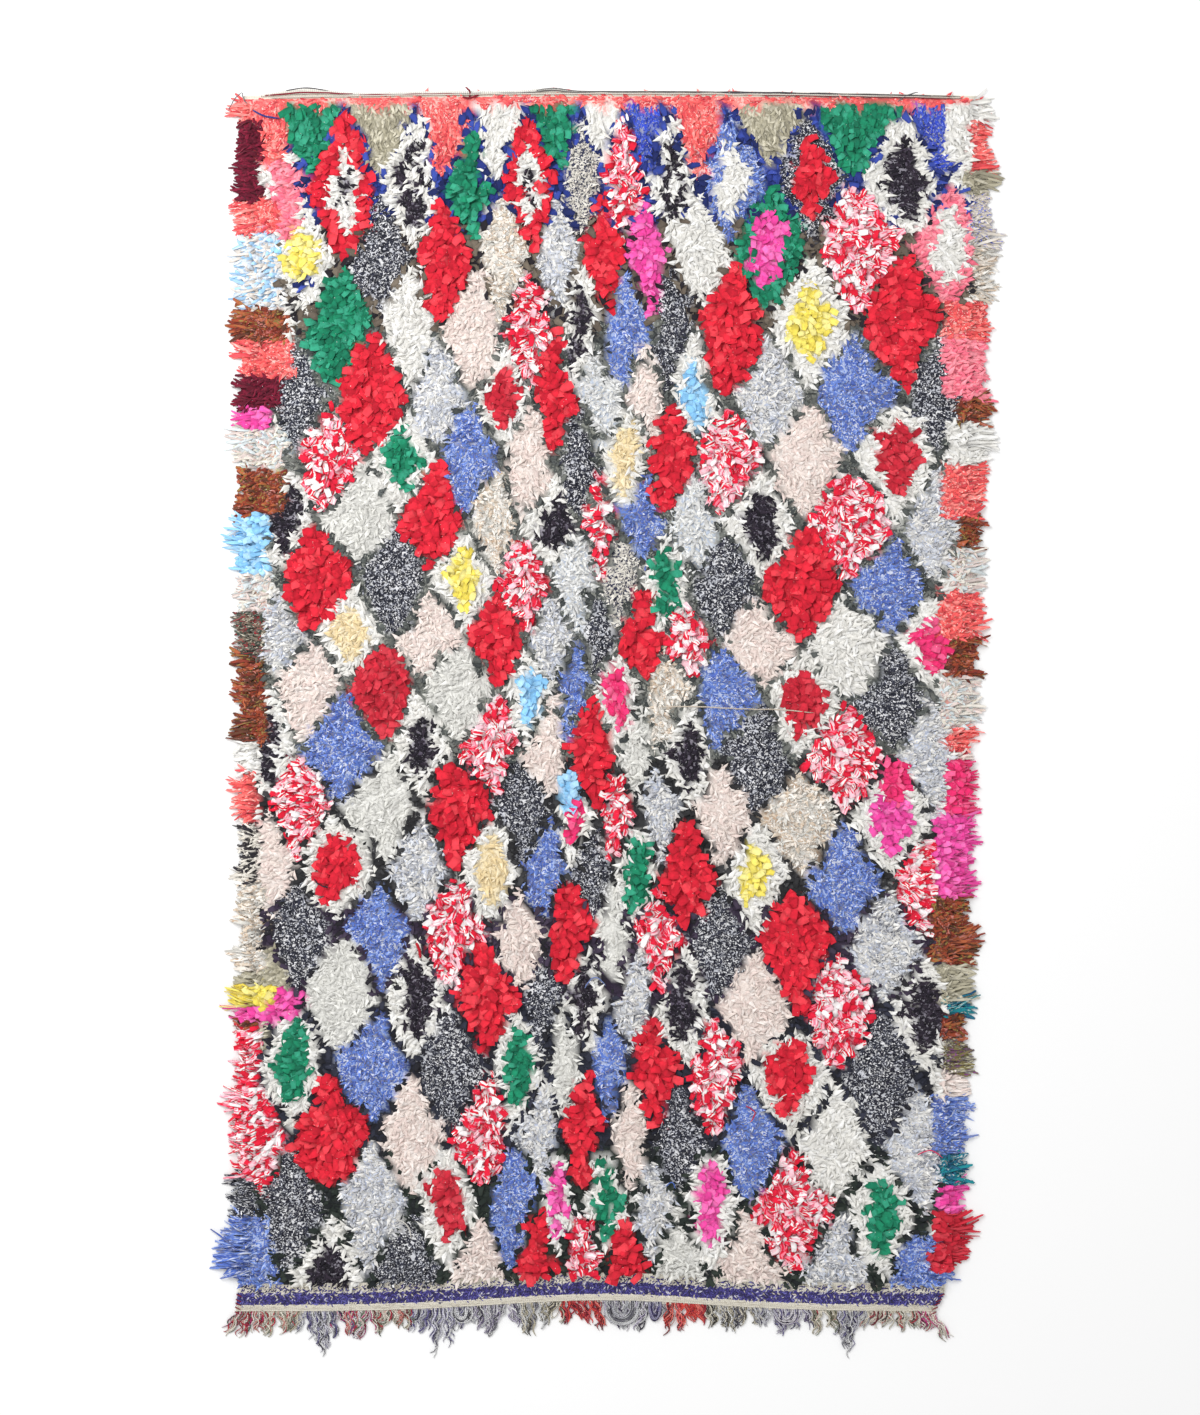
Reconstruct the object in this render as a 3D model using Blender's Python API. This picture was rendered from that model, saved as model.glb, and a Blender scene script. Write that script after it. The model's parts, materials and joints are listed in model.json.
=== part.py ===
"""Boucherouite rug, laid flat: rag pile, end band and hem woven in one, and the bottom fringe.

Metres, +Z up. The origin is on the floor under the middle of the rug. Looked down on,
+X is the rug's right side and +Y its hemmed top end.
"""

import math
import random
from collections import namedtuple

import bmesh
import bpy
from mathutils import Vector, noise

# Driving dimensions: overall size
HALF_WIDTH = 0.793  # middle to the longest lock at either side
HALF_LENGTH = 1.263  # middle to the hem's crown, and to the longest strand of the fringe
PART_GAP = 0.0003  # between the cloth's edge and the strip of the fringe

# Heights above the floor
HEM_HEIGHT = 0.005
BAND_HEIGHT = 0.006
STRIP_HEIGHT = 0.005
RIM_HEIGHT = 0.010  # top of the side walls that the locks grow from
FURROW_HEIGHT = 0.0145  # dark outlines between the lozenges
LUMP_HEIGHT = 0.0215  # middle of a lozenge
FURROW_STEEPNESS = 1.5
LUMP_SPREAD = 0.0015  # each lozenge's pile is cut a little higher or lower
SHAG_RISE = 0.0020  # lumps of the shag itself
SHAG_SIZE = 0.045
TROUGH_DEPTH = 0.003  # the soft gather that runs down the middle
TROUGH_WIDTH = 0.030
TROUGH_PLACE = -0.008

# Ends of the cloth
HEM_CROWN = 0.010  # how far the hem's middle stands past its corners
HEM_DEPTH = 0.010
FIELD_TOP = 1.235  # the first row of lozenges hangs from here
BAND_TOP = -1.128
BAND_EDGE = -1.181
BAND_WAVE = 0.022  # the end band bows up by this much
BAND_WAVE_PLACE = -0.020
BAND_WAVE_WIDTH = 0.300
WAVE_FADE = 4  # the bow dies out up the rug with this power of the way down it
BAND_LEFT = -0.751
BAND_RIGHT = 0.647

# The lozenge field: its half lozenges across, and its half rows down
HALF_LOZENGE_WIDTHS = [
    0.070, 0.080, 0.088, 0.075, 0.073, 0.072, 0.055, 0.056, 0.045, 0.044,
    0.044, 0.048, 0.041, 0.059, 0.061, 0.076, 0.086, 0.088, 0.094, 0.080,
]
HALF_ROW_LENGTHS = [
    0.160, 0.140, 0.140, 0.148, 0.118, 0.128, 0.126, 0.110, 0.100,
    0.130, 0.110, 0.130, 0.120, 0.140, 0.130, 0.140, 0.130, 0.160,
]
CELLS = 3  # grid cells to each half lozenge, so that the furrows run from corner to corner
MARGIN_CELLS = 2  # grid cells between the field and either long edge
FIELD_LEAN = 0.035  # at the top the middle lozenges stand this share of the width to the left
ROW_SLOPE_TOP = 0.023  # the first rows climb to the right
ROW_SLOPE_BOTTOM = -0.028  # and the others drop to it from here down
ROW_SLOPE_TURN = 0.60

# Long edges of the pile and of its lozenge field, down the rug
Section = namedtuple("Section", "y left field_left field_right right")
SECTIONS = [
    Section(1.262, -0.735, -0.600, 0.673, 0.735),
    Section(1.235, -0.741, -0.607, 0.673, 0.741),
    Section(0.985, -0.733, -0.613, 0.673, 0.745),
    Section(0.645, -0.731, -0.627, 0.657, 0.735),
    Section(0.265, -0.737, -0.663, 0.640, 0.725),
    Section(-0.075, -0.733, -0.691, 0.640, 0.707),
    Section(-0.445, -0.735, -0.697, 0.629, 0.697),
    Section(-0.845, -0.739, -0.711, 0.621, 0.693),
    Section(-1.050, -0.743, -0.719, 0.621, 0.685),
    Section(-1.128, -0.747, -0.723, 0.621, 0.667),
    Section(-1.181, -0.751, -0.723, 0.615, 0.647),
]

# Locks at the long edges
LOCK_SHARE = 0.70  # the rest of the rim has no lock long enough to show
LOCK_LENGTH = 0.018
LOCK_LENGTH_SPREAD = 0.008
LOCK_LEAN = 0.008
LOCK_LEAN_SIZE = 0.100
LOCK_JITTER = 0.0012
LOCK_SEED = 7
# A cut across a lock: how far along it, its width as a share of the root's, and its height
Slice = namedtuple("Slice", "along width height")
LOCK_SLICES = [Slice(0.55, 0.78, 0.009), Slice(1.00, 0.36, 0.005)]
SIDE_FACING = 0.7  # a wall faces a side when its normal has at least this much of it
Tuft = namedtuple("Tuft", "side y reach half")  # where the rags hang out furthest
LONG_TUFTS = [
    Tuft(1, 1.100, 0.048, 0.030),
    Tuft(1, 0.600, 0.014, 0.060),
    Tuft(1, -0.450, 0.028, 0.040),
    Tuft(1, -0.560, 0.026, 0.016),
    Tuft(1, -1.030, 0.022, 0.050),
    Tuft(-1, 0.800, 0.010, 0.050),
    Tuft(-1, -0.560, 0.020, 0.020),
    Tuft(-1, -0.800, 0.012, 0.080),
    Tuft(-1, -1.060, 0.044, 0.055),
]

# Fringe
STRANDS = 124
STRAND_SEED = 5
STRIP_DEPTH = 0.006
STRAND_LENGTH = 0.030
STRAND_LENGTH_SPREAD = 0.010
STRAND_LEAN = 0.010
STRAND_LEAN_SIZE = 0.080
STRAND_JITTER = 0.0010
STRAND_SLICES = [Slice(0.50, 0.60, 0.0045), Slice(1.00, 0.28, 0.0025)]
END_STRANDS = 6  # the last strands at either corner fan outwards
END_FAN = 0.038
CLUMP_PULL = 0.33  # how far a clump's strands lean in towards its middle
Clump = namedtuple("Clump", "x extra half")  # where the strands hang longer
CLUMPS = [
    Clump(-0.740, 0.014, 0.030),
    Clump(-0.584, 0.046, 0.024),
    Clump(-0.520, 0.010, 0.030),
    Clump(-0.343, 0.058, 0.022),
    Clump(-0.240, 0.014, 0.020),
    Clump(-0.160, 0.024, 0.030),
    Clump(-0.010, 0.016, 0.060),
    Clump(0.075, 0.016, 0.016),
    Clump(0.130, 0.026, 0.014),
    Clump(0.230, 0.022, 0.025),
    Clump(0.350, 0.016, 0.030),
    Clump(0.479, 0.052, 0.020),
    Clump(0.640, 0.014, 0.020),
]

RAG_COLOUR = (0.40, 0.27, 0.28, 1.0)
YARN_COLOUR = (0.26, 0.23, 0.24, 1.0)
COTTON_ROUGHNESS = 0.92


def eased(share):
    return share * share * (3.0 - 2.0 * share)


def section_value(y, name):
    """One column of SECTIONS at a place down the rug, eased between its rows."""
    for above, below in zip(SECTIONS, SECTIONS[1:]):
        if y >= below.y:
            share = min(1.0, (above.y - y) / (above.y - below.y))
            high = getattr(above, name)
            return high + (getattr(below, name) - high) * eased(share)
    return getattr(SECTIONS[-1], name)


def hump(x, middle, width):
    return math.exp(-(((x - middle) / width) ** 2))


def band_raise(x):
    return BAND_WAVE * hump(x, BAND_WAVE_PLACE, BAND_WAVE_WIDTH)


def cloth_edge(x):
    """Where the cloth ends at the bottom."""
    return BAND_EDGE + band_raise(x)


def row_slope(share):
    """How steeply the rows climb to the right, a share of the field's length down it."""
    turned = eased(min(1.0, share / ROW_SLOPE_TURN))
    slope = ROW_SLOPE_TOP + (ROW_SLOPE_BOTTOM - ROW_SLOPE_TOP) * turned
    return slope * min(1.0, ROWS_TO_STRAIGHTEN * share, ROWS_TO_STRAIGHTEN * (1.0 - share))


def shares(lengths):
    """Running sum of the lengths, from 0 to 1."""
    found = [0.0]
    for length in lengths:
        found.append(found[-1] + length / sum(lengths))
    return found


def thirds(marks):
    """The marks with their spaces cut into grid cells."""
    found = [marks[0]]
    for low, high in zip(marks, marks[1:]):
        found += [low + (high - low) * step / CELLS for step in range(1, CELLS + 1)]
    return found


COLUMN_SHARES = thirds(shares(HALF_LOZENGE_WIDTHS))
ROW_SHARES = thirds(shares(HALF_ROW_LENGTHS))
FIELD_COLUMNS = len(COLUMN_SHARES) - 1
FIELD_ROWS = len(ROW_SHARES) - 1
COLUMNS = FIELD_COLUMNS + 2 * MARGIN_CELLS
ROWS_TO_STRAIGHTEN = 12.0  # the slope goes within this part of the field from either end
PLACE_REPEATS = 3  # rows and columns bend each other, so a point is found in a few steps
TOP_ROWS = 2  # the hem, and the rags between it and the field
BAND_ROWS = 3  # the pile's step down, the indigo stripe and the plain band
ROWS = TOP_ROWS + FIELD_ROWS + BAND_ROWS


def row_place(row, x):
    """How far up the rug a grid row runs at x, counted from the bottom."""
    down = ROWS - row
    if down < TOP_ROWS:
        crown = HEM_CROWN * (x / SECTIONS[0].right) ** 2
        return HALF_LENGTH - crown - HEM_DEPTH * down
    if down <= TOP_ROWS + FIELD_ROWS:
        share = ROW_SHARES[down - TOP_ROWS]
        y = FIELD_TOP + (BAND_TOP - FIELD_TOP) * share
        return y + row_slope(share) * x + band_raise(x) * share**WAVE_FADE
    share = (down - TOP_ROWS - FIELD_ROWS) / BAND_ROWS
    return BAND_TOP + (BAND_EDGE - BAND_TOP) * share + band_raise(x)


def column_place(column, y):
    """How far across the rug a grid column runs at y."""
    left = section_value(y, "left")
    right = section_value(y, "right")
    field_left = section_value(y, "field_left")
    field_right = section_value(y, "field_right")
    inside = column - MARGIN_CELLS
    if inside < 0:
        return left + (field_left - left) * column / MARGIN_CELLS
    if inside > FIELD_COLUMNS:
        return field_right + (right - field_right) * (inside - FIELD_COLUMNS) / MARGIN_CELLS
    share = COLUMN_SHARES[inside]
    share -= FIELD_LEAN * max(0.0, y / FIELD_TOP) * math.sin(math.pi * share)
    return field_left + (field_right - field_left) * share


def lozenge_at(across, down):
    """The lozenge that holds this place in the field, and how far out from its middle it is."""
    best = None
    for column in range(math.floor(across), math.floor(across) + 2):
        for row in range(math.floor(down), math.floor(down) + 2):
            if (column + row) % 2 == 0:
                out = abs(across - column) + abs(down - row)
                if best is None or out < best[0]:
                    best = (out, column, row)
    return best


def lump_height(column, row):
    chance = random.Random(f"lozenge {column} {row}")
    return LUMP_HEIGHT + LUMP_SPREAD * chance.uniform(-1, 1)


def pile_height(column, row, x, y):
    """Height of the rag pile at a grid point: high on a lozenge, low in the furrows round it."""
    across = (column - MARGIN_CELLS) / CELLS
    down = (ROWS - row - TOP_ROWS) / CELLS
    out, lozenge, level = lozenge_at(across, down)
    rise = eased(min(1.0, FURROW_STEEPNESS * (1.0 - out)))
    height = FURROW_HEIGHT + (lump_height(lozenge, level) - FURROW_HEIGHT) * rise
    height += SHAG_RISE * noise.noise(Vector((x, y, 0.0)) / SHAG_SIZE)
    return height - TROUGH_DEPTH * hump(x, TROUGH_PLACE, TROUGH_WIDTH)


def surface_height(column, row, x, y):
    down = ROWS - row
    if down < TOP_ROWS:
        return HEM_HEIGHT
    if down > TOP_ROWS + FIELD_ROWS:
        return BAND_HEIGHT
    if column in (0, COLUMNS):
        return RIM_HEIGHT
    height = pile_height(column, row, x, y)
    if down in (TOP_ROWS, TOP_ROWS + FIELD_ROWS):
        return 0.5 * (height + RIM_HEIGHT)
    return height


def grid_sheet(columns, rows, place):
    """An open grid of cells whose points lie where place says."""
    sheet = bmesh.new()
    bmesh.ops.create_grid(sheet, x_segments=columns, y_segments=rows, size=1.0)
    for vert in sheet.verts:
        column = round((vert.co.x + 1.0) / 2.0 * columns)
        row = round((vert.co.y + 1.0) / 2.0 * rows)
        vert.co = place(column, row)
    return sheet


def split_along_furrows(sheet):
    """Cuts each cell in two along its lower diagonal, which keeps the furrows open."""
    for face in list(sheet.faces):
        a, b, c, d = face.verts
        if a.co.z + c.co.z < b.co.z + d.co.z:
            bmesh.utils.face_split(face, a, c)
        else:
            bmesh.utils.face_split(face, b, d)


def close_down_to_floor(sheet):
    """Adds side walls under the open edge and a flat underside. Returns the walls."""
    rim = [edge for edge in sheet.edges if edge.is_boundary]
    grown = bmesh.ops.extrude_edge_only(sheet, edges=rim)["geom"]
    walls = [item for item in grown if isinstance(item, bmesh.types.BMFace)]
    for item in grown:
        if isinstance(item, bmesh.types.BMVert):
            item.co.z = 0.0
    open_edges = [edge for edge in sheet.edges if edge.is_boundary]
    bmesh.ops.holes_fill(sheet, edges=open_edges, sides=0)
    bmesh.ops.recalc_face_normals(sheet, faces=sheet.faces)
    return walls


def halve_wall(sheet, wall):
    """Splits an upright wall into two narrower ones."""
    middles = []
    for edge in list(wall.edges):
        first, second = edge.verts
        if abs(first.co.z - second.co.z) < 0.5 * RIM_HEIGHT:
            middles.append(bmesh.utils.edge_split(edge, first, 0.5)[1])
    other = bmesh.utils.face_split(wall, middles[0], middles[1])[0]
    return [wall, other]


def grow(sheet, face, out, along, length, lean, slices):
    """Extrudes a wall into a lock that lies level on the floor, leans and tapers."""
    start = face.calc_center_median()
    width = max((vert.co - start).dot(along) for vert in face.verts)
    for cut in slices:
        face = bmesh.ops.extrude_discrete_faces(sheet, faces=[face])["faces"][0]
        old = face.calc_center_median()
        new = start + out * length * cut.along + along * lean * cut.along
        for vert in face.verts:
            side = math.copysign(width * cut.width, (vert.co - old).dot(along))
            height = cut.height if vert.co.z > old.z else 0.0
            spot = new + along * side
            vert.co = (spot.x, spot.y, height)


def grow_all(sheet, locks, out, along, reach, slices):
    """Grows locks, each a wall, a length and a lean. The longest just meets the reach."""
    starts = [wall.calc_center_median().dot(out) for wall, length, lean in locks]
    ends = [start + lock[1] for start, lock in zip(starts, locks)]
    for start, end, (wall, length, lean) in zip(starts, ends, locks):
        if end == max(ends) or end > reach:
            length = reach - start
        grow(sheet, wall, out, along, length, lean, slices)


def edge_locks(sheet, side, walls, chance):
    """Rag ends that stand out past one long edge."""
    locks = []
    for wall in walls:
        for root in halve_wall(sheet, wall):
            y = root.calc_center_median().y
            length = LOCK_LENGTH + LOCK_LENGTH_SPREAD * chance.uniform(-1, 1)
            for tuft in LONG_TUFTS:
                if tuft.side == side:
                    length += tuft.reach * hump(y, tuft.y, tuft.half)
            lean = LOCK_LEAN * noise.noise(Vector((side, y / LOCK_LEAN_SIZE, 0.0)))
            lean += LOCK_JITTER * chance.uniform(-1, 1)
            if chance.random() < LOCK_SHARE:
                locks.append((root, length, lean))
    out = Vector((side, 0.0, 0.0))
    grow_all(sheet, locks, out, Vector((0.0, 1.0, 0.0)), HALF_WIDTH, LOCK_SLICES)


def make_rug(collection):
    """The whole cloth, as one lumpy slab with its rag ends round the rim."""

    def place(column, row):
        y = row_place(row, 0.0)
        for repeat in range(PLACE_REPEATS):
            x = column_place(column, y)
            y = row_place(row, x)
        return Vector((x, y, surface_height(column, row, x, y)))

    sheet = grid_sheet(COLUMNS, ROWS, place)
    split_along_furrows(sheet)
    walls = close_down_to_floor(sheet)
    edges = {-1: [], 1: []}
    for wall in walls:
        if abs(wall.normal.x) > SIDE_FACING and BAND_TOP < wall.calc_center_median().y < FIELD_TOP:
            edges[round(math.copysign(1, wall.normal.x))].append(wall)
    for side, edge in edges.items():
        edge.sort(key=lambda wall: wall.calc_center_median().y)
        edge_locks(sheet, side, edge, random.Random(LOCK_SEED + side))
    return add_object("rug", sheet, collection, cotton("rag pile", RAG_COLOUR))


def strand_shape(x, number, chance):
    """How far a strand of the fringe reaches down from the strip, and how far it leans."""
    length = STRAND_LENGTH + STRAND_LENGTH_SPREAD * chance.uniform(-1, 1)
    lean = STRAND_LEAN * noise.noise(Vector((x / STRAND_LEAN_SIZE, 0.0, 0.0)))
    for place, extra, half in CLUMPS:
        near = hump(x, place, half)
        length += extra * near
        lean += CLUMP_PULL * near * (place - x)
    from_left = max(0.0, 1.0 - number / END_STRANDS)
    from_right = max(0.0, 1.0 - (STRANDS - 1 - number) / END_STRANDS)
    lean += END_FAN * (from_right**2 - from_left**2)
    return length, lean + STRAND_JITTER * chance.uniform(-1, 1)


def make_fringe(collection):
    """Yarn strands, level on the floor, on a narrow strip of their own."""

    def place(column, row):
        x = BAND_LEFT + (BAND_RIGHT - BAND_LEFT) * column / STRANDS
        y = cloth_edge(x) - PART_GAP
        if row == 0:
            y -= STRIP_DEPTH
        return Vector((x, y, STRIP_HEIGHT))

    sheet = grid_sheet(STRANDS, 1, place)
    walls = close_down_to_floor(sheet)
    roots = [wall for wall in walls if wall.normal.y < -SIDE_FACING]
    roots.sort(key=lambda wall: wall.calc_center_median().x)
    chance = random.Random(STRAND_SEED)
    strands = []
    for number, root in enumerate(roots):
        length, lean = strand_shape(root.calc_center_median().x, number, chance)
        strands.append((root, length, lean))
    out = Vector((0.0, -1.0, 0.0))
    grow_all(sheet, strands, out, Vector((1.0, 0.0, 0.0)), HALF_LENGTH, STRAND_SLICES)
    return add_object("fringe", sheet, collection, cotton("fringe yarn", YARN_COLOUR))


def add_object(name, sheet, collection, material):
    mesh = bpy.data.meshes.new(name)
    sheet.to_mesh(mesh)
    sheet.free()
    mesh.materials.append(material)
    made = bpy.data.objects.new(name, mesh)
    collection.objects.link(made)
    return made


def cotton(name, colour):
    material = bpy.data.materials.new(name)
    material.use_nodes = True
    shader = material.node_tree.nodes["Principled BSDF"]
    shader.inputs["Base Color"].default_value = colour
    shader.inputs["Roughness"].default_value = COTTON_ROUGHNESS
    shader.inputs["Metallic"].default_value = 0.0
    return material


def main():
    for old in list(bpy.data.objects):
        bpy.data.objects.remove(old, do_unlink=True)
    collection = bpy.data.collections.new("boucherouite_rug")
    bpy.context.scene.collection.children.link(collection)
    make_rug(collection)
    make_fringe(collection)


main()
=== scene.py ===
import json
import math

import bpy
import numpy as np
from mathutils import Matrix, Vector, noise
from mathutils.bvhtree import BVHTree

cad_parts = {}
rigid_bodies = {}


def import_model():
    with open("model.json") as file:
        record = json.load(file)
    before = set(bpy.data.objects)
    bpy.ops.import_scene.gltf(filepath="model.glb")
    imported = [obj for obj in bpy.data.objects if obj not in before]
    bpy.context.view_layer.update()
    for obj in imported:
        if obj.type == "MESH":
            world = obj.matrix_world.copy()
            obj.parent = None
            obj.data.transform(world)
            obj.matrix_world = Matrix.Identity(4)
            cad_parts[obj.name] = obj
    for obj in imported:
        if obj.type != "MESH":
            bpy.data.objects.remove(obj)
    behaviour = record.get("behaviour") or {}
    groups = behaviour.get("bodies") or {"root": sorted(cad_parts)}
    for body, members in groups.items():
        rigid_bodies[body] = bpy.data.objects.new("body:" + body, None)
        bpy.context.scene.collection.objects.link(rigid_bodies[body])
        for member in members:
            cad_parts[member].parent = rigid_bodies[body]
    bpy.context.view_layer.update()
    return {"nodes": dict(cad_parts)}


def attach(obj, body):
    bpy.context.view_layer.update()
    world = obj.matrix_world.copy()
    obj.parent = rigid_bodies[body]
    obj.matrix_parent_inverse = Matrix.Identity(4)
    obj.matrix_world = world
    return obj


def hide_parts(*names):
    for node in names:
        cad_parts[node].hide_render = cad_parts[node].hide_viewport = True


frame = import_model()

# Lengths are in metres, angles in radians, and cloth colours as a screen shows them, 0 to 255.
# The rug lies on the floor, z = 0. +Y runs up to its hemmed end and +X to its right side.

rugEdges = {  # the long edges of the pile and of its lozenge field, at places down the rug
    "y": [1.262, 1.235, 0.985, 0.645, 0.265, -0.075, -0.445, -0.845, -1.05, -1.128, -1.181],
    "left": [-0.735, -0.741, -0.733, -0.731, -0.737, -0.733, -0.735, -0.739, -0.743, -0.747, -0.751],
    "fieldLeft": [-0.6, -0.607, -0.613, -0.627, -0.663, -0.691, -0.697, -0.711, -0.719, -0.723, -0.723],
    "fieldRight": [0.673, 0.673, 0.673, 0.657, 0.64, 0.64, 0.629, 0.621, 0.621, 0.621, 0.615],
    "right": [0.735, 0.741, 0.745, 0.735, 0.725, 0.707, 0.697, 0.693, 0.685, 0.667, 0.647],
}

rugEnds = {
    "hem": 1.263,
    "hemDepth": 0.012,
    "hemCrown": 0.01,  # the hem's corners lie lower than its middle
    "pileTop": 1.252,
    "coralRow": 1.23,  # the first rows of knots, down to here, are all one cloth
    "fieldTop": 1.235,
    "bandTop": -1.121,
    "fieldBottom": -1.128,
    "bandEdge": -1.181,
    "bandWave": 0.022,  # the end band bows up in its middle
    "bandWavePlace": -0.02,
    "bandWaveWidth": 0.3,
    "waveFade": 4,
}

lozengeField = {
    "halfWidths": [
        0.07, 0.08, 0.088, 0.075, 0.073, 0.072, 0.055, 0.056, 0.045, 0.044,
        0.044, 0.048, 0.041, 0.059, 0.061, 0.076, 0.086, 0.088, 0.094, 0.08,
    ],
    "halfLengths": [
        0.16, 0.14, 0.14, 0.148, 0.118, 0.128, 0.126, 0.11, 0.1,
        0.13, 0.11, 0.13, 0.12, 0.14, 0.13, 0.14, 0.13, 0.16,
    ],
    # how far along the columns are shifted near the hem, at places across the field
    "leanPlaces": [0.0, 0.06, 0.12, 0.21, 0.3, 0.38, 0.61, 0.86, 1.0],
    "lean": [0.0, -0.007, -0.008, 0.022, 0.044, 0.042, 0.028, 0.015, 0.0],
    "slopeTop": 0.023,
    "slopeBottom": -0.028,
    "slopeTurn": 0.6,
    "straighten": 12.0,
    # half the width of the dark line between two lozenges, at places up the rug
    "outlinePlaces": [-1.1, -0.1, 0.3, 1.2],
    "outline": [0.007, 0.007, 0.0062, 0.0054],
    "outlineFade": 0.8,  # how unevenly wide it is
    "fill": 0.866,  # a lozenge ends here on the way to its corners, and how round and narrow it is
    "round": 1.55,
    "narrow": 1.08,
    "grow": {"jersey": 0.975},  # wide strips bulge over their neighbours
    "giveWay": 1.6,  # how much smaller a lozenge with * is
    "coreRound": 1.3,
    "coreNarrow": 1.18,
    "coreGrow": {"black": 1.06},
    "core": 0.57,  # a lozenge in a ring of another cloth
    "innerCore": 0.25,
    "wander": 0.0062,  # how unevenly the knotted edges run
    "wanderSize": 0.03,
    "drift": 0.01,  # how unevenly the lozenges are sized
    "driftSize": 0.13,
    "rowShift": 0.008,  # neighbouring rows of knots start and stop apart
    "rowPitch": 0.012,
}

# Each lozenge's cloth, row by row from the hem. Rows start on the field's edge and half a lozenge in
# by turns. A colon parts an outer cloth from the one inside it. A lozenge with * gives way to the
# ones round it.
lozengeChart = [
    "green khaki coral cream green cream royal coral khaki green royal",
    "red:cream:black cream:black:cream green* red:cream:black paleCharcoal redWhite"
    " cream:black:cream blueMix:cream charcoal:red cream:black",
    "cream:yellow charcoal red khakiCream lilac red hotPink cream green:hotPink redWhite pink:cream",
    "green cream peach redWhite cream:black blueMix charcoal red cream:yellow red",
    "charcoal red lilac cream:darkRed red greyWhite peach cream:lightBlue lilac blueMix charcoal",
    "redWhite cream:green blueMix peach charcoal cream:tan red redWhite peach cream:darkRed",
    "cream:black greyCream red khakiCream cream:black redWhite blueMix greyWhite cream:black"
    " redWhite lilac",
    "red charcoal cream:yellow redWhite greyWhite paleCharcoal cream:green charcoal red blueMix",
    "lilac cream:tan peach red lilac charcoal red redWhite peach cream cream:rose",
    "peach darkRed greyCream cream:lightBlue blueMix cream:rose khakiCream blueMix cream:darkRed charcoal",
    "cream:black blueMix cream:black redWhite peach red greyCream cream:black charcoal redWhite lilac",
    "redWhite greyCream red charcoal cream:rose redWhite lilac peach khakiCream cream:hotPink",
    "peach cream:red lilac cream:tan blueMix charcoal cream:green red cream:yellow blueMix redWhite",
    "charcoal blueMix redWhite peach red greyCream redWhite charcoal red lilac",
    "khaki greyCream cream:black red charcoal cream:black lilac cream:black peach redWhite cream:black",
    "cream:green blueMix charcoal cream:green greyCream blueMix red redWhite cream:red charcoal",
    "redWhite red peach redWhite lilac red peach charcoal blueMix cream lilac",
    "charcoal lilac cream:darkRed blueMix cream:hotPink cream:green lilac cream:hotPink redWhite"
    " cream:green",
    "blueMix cream:black charcoal peach red redWhite red greyCream peach lilac blueMix",
]

outlineCloths = [  # from this far up the rug, down to the next
    (1.3, "navy"), (0.995, "oliveBrown"), (0.79, "slate"), (-0.075, "blackLine"),
    (-0.36, "plumBlack"), (-0.56, "inkBlack"), (-0.85, "greenBlack"),
]

# Rags along the two long edges: from how far up, which cloth, and how wide its strip is
leftRags = [
    (1.27, "coral", 0.046), (1.205, "maroon", 0.04), (1.04, "coral", 0.07),
    (0.975, "paleBlue", 0.072), (0.828, "rust", 0.085), (0.762, "coral", 0.095),
    (0.69, "maroon", 0.075), (0.628, "hotPink", 0.05), (0.585, "paleMix", 0.08),
    (0.508, "rust", 0.08), (0.415, "lightBlue", 0.05), (0.295, "paleMix", 0.06),
    (0.221, "darkMix", 0.044), (0.13, "rust", 0.044), (-0.036, "cream", 0.03),
    (-0.099, "coral", 0.022), (-0.2, "blackCream", 0.03), (-0.315, "khakiCream", 0.04),
    (-0.495, "khaki", 0.06), (-0.525, "yellow", 0.062), (-0.571, "hotPink", 0.07),
    (-0.593, "rust", 0.04), (-0.611, "redWhite", 0.036), (-0.905, "charcoal", 0.03),
    (-0.985, "blueMix", 0.06),
]
rightRags = [
    (1.27, "cream", 0.046), (1.201, "coral", 0.024), (1.101, "khaki", 0.04),
    (1.055, "creamBlue", 0.03), (0.955, "khakiCream", 0.026), (0.841, "coral", 0.078),
    (0.765, "pink", 0.076), (0.645, "rust", 0.046), (0.6, "cream", 0.066),
    (0.515, "coral", 0.07), (0.405, "rust", 0.034), (0.349, "paleMix", 0.05),
    (0.261, "coral", 0.07), (0.169, "rust", 0.05), (0.09, "paleMix", 0.056),
    (-0.015, "coral", 0.036), (-0.06, "peach", 0.024), (-0.075, "rose", 0.036),
    (-0.185, "hotPink", 0.056), (-0.345, "rust", 0.06), (-0.481, "khaki", 0.04),
    (-0.555, "teal", 0.03), (-0.585, "rust", 0.036), (-0.635, "oliveMix", 0.036),
    (-0.699, "peach", 0.04), (-0.745, "blueMix", 0.056), (-0.86, "teal", 0.036),
    (-0.925, "hotPink", 0.036), (-0.981, "darkRed", 0.044), (-1.095, "blueMix", 0.06),
]

# Odd rags inside the field: middle, half width, half length, cloth
ragPatches = [
    (-0.68, 1.165, 0.034, 0.075, "coral"), (-0.655, 1.045, 0.04, 0.078, "pink"),
    (-0.7, 1.065, 0.03, 0.034, "cream"), (-0.688, 0.905, 0.026, 0.068, "lightBlue"),
    (-0.745, 0.905, 0.03, 0.07, "peach"),
    (-0.678, 0.866, 0.02, 0.018, "navy"), (-0.608, 0.877, 0.008, 0.016, "navy"),
    (0.69, 1.18, 0.024, 0.07, "cream"), (0.738, 1.03, 0.022, 0.045, "royal"),
    (-0.69, -0.555, 0.03, 0.024, "yellow"), (-0.655, -0.56, 0.034, 0.03, "hotPink"),
    (-0.086, -0.14, 0.017, 0.04, "lightBlue"), (0.566, -0.12, 0.024, 0.046, "rose"),
]


def ragCloth(pile, *tints, prints=None, share=0.0, size=1.0):
    return {"pile": pile, "tints": tints, "prints": prints or tints, "share": share, "size": size}


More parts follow.
